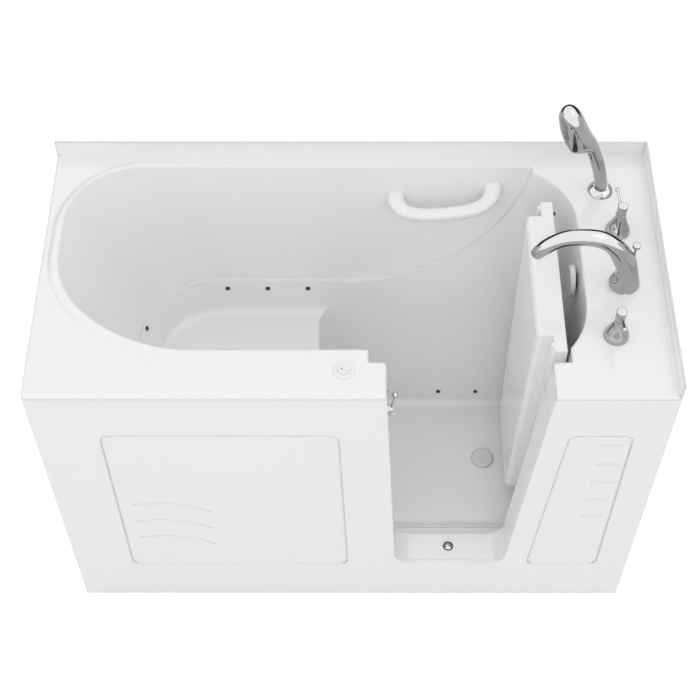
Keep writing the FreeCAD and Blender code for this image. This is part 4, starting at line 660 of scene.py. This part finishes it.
class BATH_OT_hand_shower(bpy.types.Operator):
    """Hand shower: a bowed handle that runs into an egg-shaped head with a flat spray plate"""
    bl_idname = "bath.hand_shower"
    bl_label = "Hand shower"

    # Rings in millimetres and degrees: lean to the left, rise above the deck and tilt, then the
    # reach to the spray side, to the back and to the sides
    STEM = ((0, -32.7, 0, 9, 9, 9), (0, -31.5, 0, 10, 10, 10), (0, 13.5, 0, 10, 10, 10),
            (0, 14.6, 0, 10.4, 10.4, 10.4), (0, 15.3, 0, 15, 15, 15),
            (0.2, 17, 0, 16.5, 16.5, 16.5))
    HANDLE = ((7, 54, 10, 16.5, 16.5, 16.5), (20, 100, 17, 17, 17, 17),
              (35, 138, 23, 17, 17.5, 17.5), (44.5, 158, 27, 16.5, 18.5, 19),
              (46.5, 162, 28, 17.5, 19, 19.5))
    HEAD = ((56, 168, 38, 36, 25, 26), (64, 176, 38, 48, 26.5, 32), (75, 194, 32, 50, 27, 36),
            (88, 219, 26, 46, 27.5, 38.5), (98, 242, 22, 40, 27, 37.5),
            (106, 261.5, 20, 33, 25, 33), (113, 277.5, 18, 25, 20, 25),
            (117.5, 288, 18, 14.5, 12, 14.5), (119, 291.5, 18, 5, 5, 5.5))
    SIDES = 32
    # Lean, rise and tilt of the flat spray side, and how far down it the plate lies, in metres
    FACE = (125, 222, 24)
    PLATE_DOWN = 0.027
    # The plate's rim: share of its width, height in metres
    PLATE_RIM = ((1, -0.002), (1, 0.0004), (0.97, 0.0010), (0.93, 0.0011), (0.91, 0.0007),
                 (0.88, 0.0007))
    # A nozzle's profile in shares of its radius, and how nozzles are spread over the plate
    NOZZLE = ((1, -0.2), (0.94, 0.7), (0.62, 1.1), (0.34, 1.14), (0.28, 0.6))
    SPREAD, INNERMOST = 0.76, 0.55
    FIRST_RING, MORE_PER_RING = 6, 8

    def execute(self, context):
        size = context.scene.bath_fittings
        low, high = corners_of("shower_holder")
        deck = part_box("hand_shower")[0][2] - self.STEM[0][1] / 1000
        self.base = Vector(((low.x + high.x) / 2, (low.y + high.y) / 2, deck))
        face = self.at(*self.FACE[:2])
        out = self.way(self.FACE[2])
        self.body(face, out)
        along = Vector((0, 1, 0)).cross(out).normalized()
        along = along if along.z > 0 else -along
        across = out.cross(along)
        centre = face - along * self.PLATE_DOWN
        self.plate(centre, along, across, out, size)
        self.nozzles(centre, along, across, out, size)
        return {"FINISHED"}

    def at(self, lean, rise):
        return self.base + Vector((-lean, 0, rise)) / 1000

    def way(self, tilt):
        """Direction of the spray side of a ring that is tilted by some degrees."""
        return Vector((-math.cos(math.radians(tilt)), 0, -math.sin(math.radians(tilt))))

    def body(self, face, out):
        mesh = bmesh.new()
        rings = [self.ring(mesh, ring, None) for ring in self.STEM + self.HANDLE]
        rings += [self.ring(mesh, ring, (face, out)) for ring in self.HEAD]
        skin_into(mesh, rings)
        body = piece("hand_shower_body", mesh, "polished_chrome", "hand_shower",
                     sharp=180)
        smooth = body.modifiers.new("smooth", "SUBSURF")
        smooth.levels = smooth.render_levels = 2
        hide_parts("hand_shower")

    def ring(self, mesh, sizes, face):
        """One ring of the loft; what passes the flat spray side is moved back to it."""
        lean, rise, tilt, front, back, side = sizes
        out = self.way(tilt)
        points = []
        for turn in turns_of(self.SIDES):
            reach = (front if math.cos(turn) > 0 else back) / 1000 * math.cos(turn)
            aside = Vector((0, side / 1000 * math.sin(turn), 0))
            point = self.at(lean, rise) + out * reach + aside
            past = (point - face[0]).dot(face[1]) if face else 0
            points.append(point - out * past / out.dot(face[1]) if past > 0 else point)
        return ring_into(mesh, Matrix.Identity(4), points)

    def plate(self, centre, along, across, out, size):
        axes = (along * size.spray_long / 2, across * size.spray_wide / 2, out)
        place = Matrix.Translation(centre) @ Matrix(axes).transposed().to_4x4()
        mesh = bmesh.new()
        turned_into(mesh, self.PLATE_RIM, place, sides=48)
        plate = piece("spray_face_plate", mesh, "spray_face", "hand_shower")
        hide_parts("spray_plate")

    def nozzles(self, centre, along, across, out, size):
        profile = scaled(self.NOZZLE, size.nozzle / 2)
        mesh = bmesh.new()
        for ring in range(size.nozzle_rings):
            share = (ring + self.INNERMOST) / (size.nozzle_rings - 1 + self.INNERMOST)
            reach = self.SPREAD * share
            nozzles = self.FIRST_RING + self.MORE_PER_RING * ring
            for i in range(nozzles):
                turn = 2 * math.pi * (i + 0.5 * ring) / nozzles
                spot = centre + along * (size.spray_long / 2 * reach * math.cos(turn))
                spot += across * (size.spray_wide / 2 * reach * math.sin(turn))
                turned_into(mesh, profile, facing(spot, out), sides=12)
        piece("spray_nozzles", mesh, "black_rubber", "hand_shower")


class BATH_OT_panel_trims(bpy.types.Operator):
    """Beads in the gap round the access panels: grey on top and sides as painted gap shade, white
    along the lit foot
    """
    bl_idname = "bath.panel_trims"
    bl_label = "Panel beads"

    # Gap between panel and apron, how far a bead bites into what holds it, and how far its crown,
    # its shoulder and its lip lie behind the apron's face
    GAP = 0.0020
    BITE = 0.0002
    CROWN, SHOULDER, LIP = 0.0001, 0.0005, 0.0015
    FOOT_LOOKS_DOWN = -0.8

    def execute(self, context):
        width = context.scene.bath_fittings.trim
        for name in ("left_access_panel", "right_access_panel"):
            face, sides, foot = self.runs(name)
            # Top and sides get a mid grey bead as painted shade of the gap; the foot, where the
            # gap is lit, keeps the apron's white
            self.bead(name + "_bead", sides, face, width, "painted_gap_shade", "seal_rubber")
            self.bead(name + "_foot_bead", foot, face, width, "apron_gelcoat", "panel")
        return {"FINISHED"}

    def runs(self, name):
        """Depth of a panel's face, and its outline with outward directions: sides, then foot."""
        centre, _, corners = widest_face(name, Vector((0, -1, 0)))
        flat = list({(round(c.x, 4), round(c.z, 4)) for c in corners})
        outline = [Vector(flat[i]) for i in convex_hull_2d(flat)]
        befores, afters = outline[-1:] + outline, outline[1:] + outline[:1]
        marks = []
        for before, point, after in zip(befores, outline, afters):
            run = (point - before).normalized() + (after - point).normalized()
            side = Vector((run.y, -run.x)).normalized()
            inside = Vector((centre.x, centre.z)) - point
            marks.append((point, -side if side.dot(inside) > 0 else side))
        low = [side.y < self.FOOT_LOOKS_DOWN for _, side in marks]
        first = next(i for i in range(len(low)) if low[i - 1] and not low[i])
        marks = marks[first:] + marks[:first]
        upper = low.count(False)
        return centre.y, marks[-1:] + marks[:upper + 1], marks[upper:]

    def bead(self, name, marks, face, width, material, slot):
        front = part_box("front_apron")[0][1]
        outer, inner = self.GAP + self.BITE, self.GAP - width
        profile = ((outer, front + self.CROWN), (self.GAP * 0.4, front + self.CROWN),
                   (inner * 0.5, front + self.SHOULDER), (inner, front + self.LIP),
                   (inner, face + self.BITE), (outer, face + self.BITE))
        mesh = bmesh.new()
        rings = []
        for point, side in marks:
            spots = [(point + side * offset, depth) for offset, depth in profile]
            points = [(spot.x, depth, spot.y) for spot, depth in spots]
            rings.append(ring_into(mesh, Matrix.Identity(4), points))
        skin_into(mesh, rings)
        piece(name, mesh, material, "tub")


class BATH_OT_latch_knob(bpy.types.Operator):
    """Turned ball with a collar on the end of the latch's lever"""
    bl_idname = "bath.latch_knob"
    bl_label = "Latch knob"

    # Radius of the lever's own end, how far its foot is below it, and half the hub's thickness
    END = 0.0055
    DOWN = 0.0600
    HUB = 0.0035
    # The collar in shares of the ball's radius; the ball starts and steps by degrees
    COLLAR = ((0.36, -1.75), (0.46, -1.62), (0.46, -1.30), (0.34, -1.14))
    BALL_FROM, BALL_STEP, BALL_RINGS = 20, 12.5, 13

    def execute(self, context):
        r = context.scene.bath_fittings.knob / 2
        low, high = corners_of("latch_lever")
        vertices = NODES["latch_lever"].data.vertices
        tips = [vertex.co for vertex in vertices if vertex.co.z > high.z - NEAR]
        end = sum(tips, Vector()) / len(tips)
        end.z = high.z - self.END
        foot = Vector((low.x + self.HUB, end.y, end.z - self.DOWN))
        turns = [math.radians(self.BALL_FROM + self.BALL_STEP * i) for i in range(self.BALL_RINGS)]
        ball = [(math.sin(turn), -math.cos(turn)) for turn in turns]
        mesh = bmesh.new()
        profile = scaled(list(self.COLLAR) + ball, r)
        turned_into(mesh, profile, facing(end, end - foot), sides=28)
        piece("latch_knob", mesh, "polished_chrome", "latch", sharp=50)
        return {"FINISHED"}


class BATH_OT_hinge_screws(bpy.types.Operator):
    """Screws through the hinge leaves into the door and its frame"""
    bl_idname = "bath.hinge_screws"
    bl_label = "Hinge screws"

    # Distances from a leaf's edges, in screw heads
    FROM_FRONT, FROM_BACK, FROM_ENDS = 1.2, 1.0, 1.1

    def execute(self, context):
        width = context.scene.bath_fittings.screw
        self.leaf("hinge_door_leaves", Vector((1, 0, 0)), "door", width)
        self.leaf("hinge_frame_leaves", Vector((-1, 0, 0)), "tub", width)
        return {"FINISHED"}

    def leaf(self, node, toward, body, width):
        _, out, corners = widest_face(node, toward)
        mesh = bmesh.new()
        for low, high in solids(node):
            flat = [c for c in corners if low.z - NEAR <= c.z <= high.z + NEAR]
            _, (front, back), (foot, top) = [(min(v), max(v)) for v in zip(*flat)]
            for y in (front + self.FROM_FRONT * width, back - self.FROM_BACK * width):
                for z in (foot + self.FROM_ENDS * width, top - self.FROM_ENDS * width):
                    screw_into(mesh, facing((flat[0].x, y, z), out), width)
        piece(node + "_screws", mesh, "hinge_steel", body)


class BATH_OT_welds(bpy.types.Operator):
    """Weld beads where the frame's tubes meet"""
    bl_idname = "bath.welds"
    bl_label = "Frame welds"

    def execute(self, context):
        width = context.scene.bath_fittings.weld
        mesh = bmesh.new()
        for low, high in solids("frame_crossbars"):
            for y in (low.y, high.y):
                for x in (low.x, high.x):
                    bead_into(mesh, Vector((x, y, low.z)), Vector((x, y, high.z)), width)
                bead_into(mesh, Vector((low.x, y, high.z)), Vector((high.x, y, high.z)), width)
        for node in ("frame_uprights", "basin_supports"):
            for low, high in solids(node):
                feet = ((low.x, low.y), (high.x, low.y), (high.x, high.y), (low.x, high.y))
                corners = [Vector((x, y, low.z)) for x, y in feet]
                for start, end in zip(corners, corners[1:] + corners[:1]):
                    bead_into(mesh, start, end, width)
        piece("frame_welds", mesh, "zinc_tube", "tub")
        return {"FINISHED"}


class BATH_OT_pipe_clamps(bpy.types.Operator):
    """Worm-screw clamps on the ends of the air pipes"""
    bl_idname = "bath.pipe_clamps"
    bl_label = "Pipe clamps"

    RISER_TO_MANIFOLD = 16 / 13

    def execute(self, context):
        band = context.scene.bath_fittings.clamp
        low, high = corners_of("seat_back_manifold")
        r = (high.z - low.z) / 2 * self.RISER_TO_MANIFOLD
        mesh = bmesh.new()
        for spot, along in self.ends(band, r):
            clamp_into(mesh, facing(spot, along), r, band)
        piece("pipe_clamps", mesh, "hinge_steel", "tub")
        return {"FINISHED"}

    def ends(self, band, r):
        """Points on the pipes' axes, a band's width in from each end, with their directions."""
        low, high = corners_of("back_air_pipe")
        yield (low.x + r, low.y + band, low.z + r), (0, 1, 0)
        yield (high.x - band, high.y - r, high.z - r), (1, 0, 0)
        low, high = corners_of("front_air_pipe")
        yield (low.x + r, high.y - r, low.z + band), (0, 0, 1)
        yield (high.x - band, low.y + r, high.z - r), (1, 0, 0)


class BATH_OT_blower_trim(bpy.types.Operator):
    """Cooling fins, a bolted seam and foot bolts of the blower"""
    bl_idname = "bath.blower_trim"
    bl_label = "Blower trim"

    # Lengths of the blower's gland, motor and housing along its axis, and the motor's radius
    GLAND, MOTOR, HOUSING = 0.016, 0.070, 0.150
    MOTOR_R = 0.058
    BITE = 0.002
    FIN_HALF = 0.0013
    SEAM_PROUD, SEAM_HALF = 0.006, 0.004
    SEAM_BOLTS, SEAM_BOLT_OUT, SEAM_BOLT_SHARE = 8, 0.001, 0.6
    FOOT_BOLT_OUT, FOOT_BOLT_IN = 0.074, 0.018

    def execute(self, context):
        size = context.scene.bath_fittings
        low, high = corners_of("blower")
        r = (high.x - low.x) / 2
        axis = Vector(((low.x + high.x) / 2, 0, high.z - r))
        seam = facing((axis.x, high.y - self.HOUSING / 2, axis.z), (0, 1, 0))
        self.fins(size, low.y + self.GLAND, axis)
        mesh = bmesh.new()
        hoop_into(mesh, r - self.BITE, r + self.SEAM_PROUD, -self.SEAM_HALF, self.SEAM_HALF,
                  seam, sides=64)
        piece("blower_seam", mesh, "blower_case", "tub")
        self.bolts(size.bolt, seam, r + self.SEAM_BOLT_OUT, axis.x, high.y)
        return {"FINISHED"}

    def fins(self, size, start, axis):
        mesh = bmesh.new()
        for i in range(size.fins):
            y = start + self.MOTOR * (i + 0.5) / size.fins
            hoop_into(mesh, self.MOTOR_R - self.BITE, self.MOTOR_R + size.fin, -self.FIN_HALF,
                      self.FIN_HALF, facing((axis.x, y, axis.z), (0, 1, 0)), sides=56)
        piece("blower_fins", mesh, "blower_case", "tub")

    def bolts(self, width, seam, r, middle, back):
        """Small bolts over the seam's upper half and four through the feet."""
        mesh = bmesh.new()
        for i in range(self.SEAM_BOLTS):
            turn = math.pi * (i - 0.5) / (self.SEAM_BOLTS - 1)
            spot = seam @ Vector((r * math.cos(turn), r * -math.sin(turn), -self.SEAM_HALF))
            bolt_into(mesh, facing(spot, (0, -1, 0)), width * self.SEAM_BOLT_SHARE)
        tray_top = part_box("equipment_tray")[1][2]
        for side in (-1, 1):
            x = middle + side * self.FOOT_BOLT_OUT
            for y in (back - self.HOUSING + self.FOOT_BOLT_IN, back - self.FOOT_BOLT_IN):
                bolt_into(mesh, facing((x, y, tray_top), (0, 0, 1)), width)
        piece("blower_bolts", mesh, "hinge_steel", "tub")


class BATH_OT_small_trim(bpy.types.Operator):
    """Washer under the sill dome, ring and lamp on the air button"""
    bl_idname = "bath.small_trim"
    bl_label = "Sill washer and button lamp"

    WASHER_BITE, WASHER_PROUD, WASHER_THICK = 0.001, 0.0022, 0.0012
    # Inner and outer radius, foot and top of the button's ring
    RING = (0.0080, 0.0092, -0.0004, 0.0005)
    LAMP = ((0.0019, -0.0003), (0.0019, 0.0003), (0.0012, 0.0007))
    LAMP_AT = (-0.0048, -0.001, 0)

    def execute(self, context):
        low, high = corners_of("sill_dome")
        r = (high.x - low.x) / 2
        foot = Matrix.Translation(((low.x + high.x) / 2, (low.y + high.y) / 2, low.z))
        mesh = bmesh.new()
        hoop_into(mesh, r - self.WASHER_BITE, r + self.WASHER_PROUD, 0, self.WASHER_THICK, foot,
                  sides=40)
        piece("sill_washer", mesh, "black_rubber", "tub")
        low, high = corners_of("air_button")
        top = Matrix.Translation(((low.x + high.x) / 2, (low.y + high.y) / 2, high.z))
        mesh = bmesh.new()
        hoop_into(mesh, *self.RING, top, sides=48)
        piece("button_ring", mesh, "white_cap", "air_button")
        mesh = bmesh.new()
        turned_into(mesh, self.LAMP, top @ Matrix.Translation(self.LAMP_AT), sides=20)
        piece("button_lamp", mesh, "jet_nozzle", "air_button")
        return {"FINISHED"}


class BATH_OT_stage(bpy.types.Operator):
    """Set up the floor, the lamps and the camera"""
    bl_idname = "bath.stage"
    bl_label = "Studio"

    FLOOR_HALF, FLOOR_DOWN = 14, 0.0005
    # The floor's grey under the lamps, and how much of a plain white the camera sees over it
    FLOOR_GREY, FLOOR_WHITE, WHITE_SHARE = 0.90, 1.08, 0.86
    # Place, aim and width of each lamp
    KEY = ((-0.8, -4.0, 2.7), (0, 0, 0.6), 3.4)
    FILL = ((2.4, -0.6, 4.0), (-0.2, 0, 0.7), 2.6)
    # The cards bend round a line along the bath: half length, then first and last angle in degrees
    TENT = (14, 28, 184)
    DARK_STRIP = (8, -16, 28)
    CARD_REACH, CARD_HEIGHT, CARD_STEPS = 3.6, 1.1, 24
    CARD_BLACK = (0.012, 0.012, 0.012)
    SENSOR = 36.0

    def execute(self, context):
        stage = context.scene.bath_stage
        self.floor(context)
        self.sky(context, stage.sky)
        self.lamp(context, "key", *self.KEY, stage.key)
        self.lamp(context, "fill", *self.FILL, stage.fill)
        self.cards(context, stage.softbox)
        self.camera(context, stage)
        context.scene.view_settings.view_transform = "Standard"
        return {"FINISHED"}

    def staged(self, context, name, mesh, material):
        """Links a mesh as part of the studio."""
        data = bpy.data.meshes.new(name)
        mesh.to_mesh(data)
        mesh.free()
        data.materials.append(material)
        made = bpy.data.objects.new(name, data)
        context.scene.collection.objects.link(made)
        return made

    def floor(self, context):
        """Pale floor that looks white to the camera and keeps the bath's shadow."""
        finish = Finish("studio_floor")
        path = finish.node("ShaderNodeLightPath", {}, {}, "Is Camera Ray")
        grey = (self.FLOOR_GREY, self.FLOOR_GREY, self.FLOOR_GREY, 1)
        lit = finish.node("ShaderNodeBsdfDiffuse", {}, {"Color": grey})
        glow = finish.node("ShaderNodeEmission", {},
                           {"Color": (1, 1, 1, 1), "Strength": self.FLOOR_WHITE})
        both = finish.node("ShaderNodeMixShader", {},
                           {0: path * self.WHITE_SHARE, 1: lit, 2: glow})
        finish.node("ShaderNodeOutputMaterial", {}, {"Surface": both})
        mesh = bmesh.new()
        bmesh.ops.create_grid(mesh, x_segments=1, y_segments=1, size=self.FLOOR_HALF)
        floor = self.staged(context, "floor", mesh, finish.material)
        floor.location.z = CAD_BOX[0][2] - self.FLOOR_DOWN

    def sky(self, context, strength):
        """Even light, which the camera, metal and glass see as white."""
        world = bpy.data.worlds.new("studio")
        context.scene.world = world
        nodes = Nodes(world)
        camera, glossy, through = [
            nodes.node("ShaderNodeLightPath", {}, {}, "Is %s Ray" % kind)
            for kind in ("Camera", "Glossy", "Transmission")]
        seen = camera.sum("MAXIMUM", camera.sum("MAXIMUM", camera, glossy), through)
        light = nodes.node("ShaderNodeBackground", {}, {
            "Color": (1, 1, 1, 1), "Strength": strength + seen * (1.0 - strength)})
        nodes.node("ShaderNodeOutputWorld", {}, {"Surface": light})

    def lamp(self, context, name, place, aim, size, power):
        data = bpy.data.lights.new(name, "AREA")
        data.shape = "DISK"
        data.size = size
        data.energy = power
        made = bpy.data.objects.new(name, data)
        self.look(made, place, aim)
        context.scene.collection.objects.link(made)

    def look(self, made, place, aim):
        """Stands a lamp or the camera at a place and turns it to what it looks at."""
        made.location = place
        way = Vector(aim) - Vector(place)
        made.rotation_euler = way.to_track_quat("-Z", "Y").to_euler()

    def cards(self, context, softbox):
        """A bright tent over the bath and a dark strip behind it, seen only in reflections."""
        dark = Finish("dark_card").surface(base_color=self.CARD_BLACK, roughness=0.9)
        bright = Finish("softbox").surface(base_color=(0, 0, 0), emission_color=(1, 1, 1),
                                           emission_strength=softbox)
        self.arch(context, "tent", self.TENT, bright)
        self.arch(context, "dark_strip", self.DARK_STRIP, dark)

    def arch(self, context, name, sizes, material):
        """Part of a wide tube; its angles start at the back and go up and over the bath."""
        half, first, last = sizes
        mesh = bmesh.new()
        rows = []
        for i in range(self.CARD_STEPS + 1):
            turn = math.radians(first + (last - first) * i / self.CARD_STEPS)
            y = self.CARD_REACH * math.cos(turn)
            z = self.CARD_HEIGHT + self.CARD_REACH * math.sin(turn)
            rows.append([mesh.verts.new((x, y, z)) for x in (-half, half)])
        for near, far in zip(rows, rows[1:]):
            mesh.faces.new((near[0], near[1], far[1], far[0]))
        card = self.staged(context, name, mesh, material)
        card.visible_camera = False
        card.visible_diffuse = False
        card.visible_shadow = False

    def camera(self, context, stage):
        data = bpy.data.cameras.new("camera")
        data.lens = stage.lens
        data.sensor_width = self.SENSOR
        data.shift_y = stage.rise
        made = bpy.data.objects.new("camera", data)
        self.look(made, stage.eye, stage.aim)
        context.scene.collection.objects.link(made)
        context.scene.camera = made


class BATH_PT_panel(bpy.types.Panel):
    """Finishes, fittings and studio of the bath"""
    bl_idname = "BATH_PT_panel"
    bl_label = "Walk-in bath"
    bl_space_type = "VIEW_3D"
    bl_region_type = "UI"
    bl_category = "Bath"

    def draw(self, context):
        for operator in OPERATORS:
            self.layout.operator(operator.bl_idname)
        for group in ("bath_finish", "bath_fittings", "bath_stage"):
            values = getattr(context.scene, group)
            column = self.layout.column()
            for name in values.bl_rna.properties.keys():
                if name not in {"rna_type", "name"}:
                    column.prop(values, name)


OPERATORS = (BATH_OT_moulded, BATH_OT_white_fittings, BATH_OT_metal, BATH_OT_plastic,
             BATH_OT_hand_shower, BATH_OT_panel_trims, BATH_OT_latch_knob, BATH_OT_hinge_screws,
             BATH_OT_welds, BATH_OT_pipe_clamps, BATH_OT_blower_trim, BATH_OT_small_trim,
             BATH_OT_stage)
CLASSES = (BathFinish, BathFittings, BathStage) + OPERATORS + (BATH_PT_panel,)


def register():
    for cls in CLASSES:
        bpy.utils.register_class(cls)
    bpy.types.Scene.bath_finish = PointerProperty(type=BathFinish)
    bpy.types.Scene.bath_fittings = PointerProperty(type=BathFittings)
    bpy.types.Scene.bath_stage = PointerProperty(type=BathStage)


def unregister():
    del bpy.types.Scene.bath_stage
    del bpy.types.Scene.bath_fittings
    del bpy.types.Scene.bath_finish
    for cls in reversed(CLASSES):
        bpy.utils.unregister_class(cls)


def main():
    register()
    bpy.ops.bath.moulded()
    bpy.ops.bath.white_fittings()
    bpy.ops.bath.metal()
    bpy.ops.bath.plastic()
    bpy.ops.bath.hand_shower()
    bpy.ops.bath.panel_trims()
    bpy.ops.bath.latch_knob()
    bpy.ops.bath.hinge_screws()
    bpy.ops.bath.welds()
    bpy.ops.bath.pipe_clamps()
    bpy.ops.bath.blower_trim()
    bpy.ops.bath.small_trim()
    bpy.ops.bath.stage()


if __name__ == "__main__":
    main()
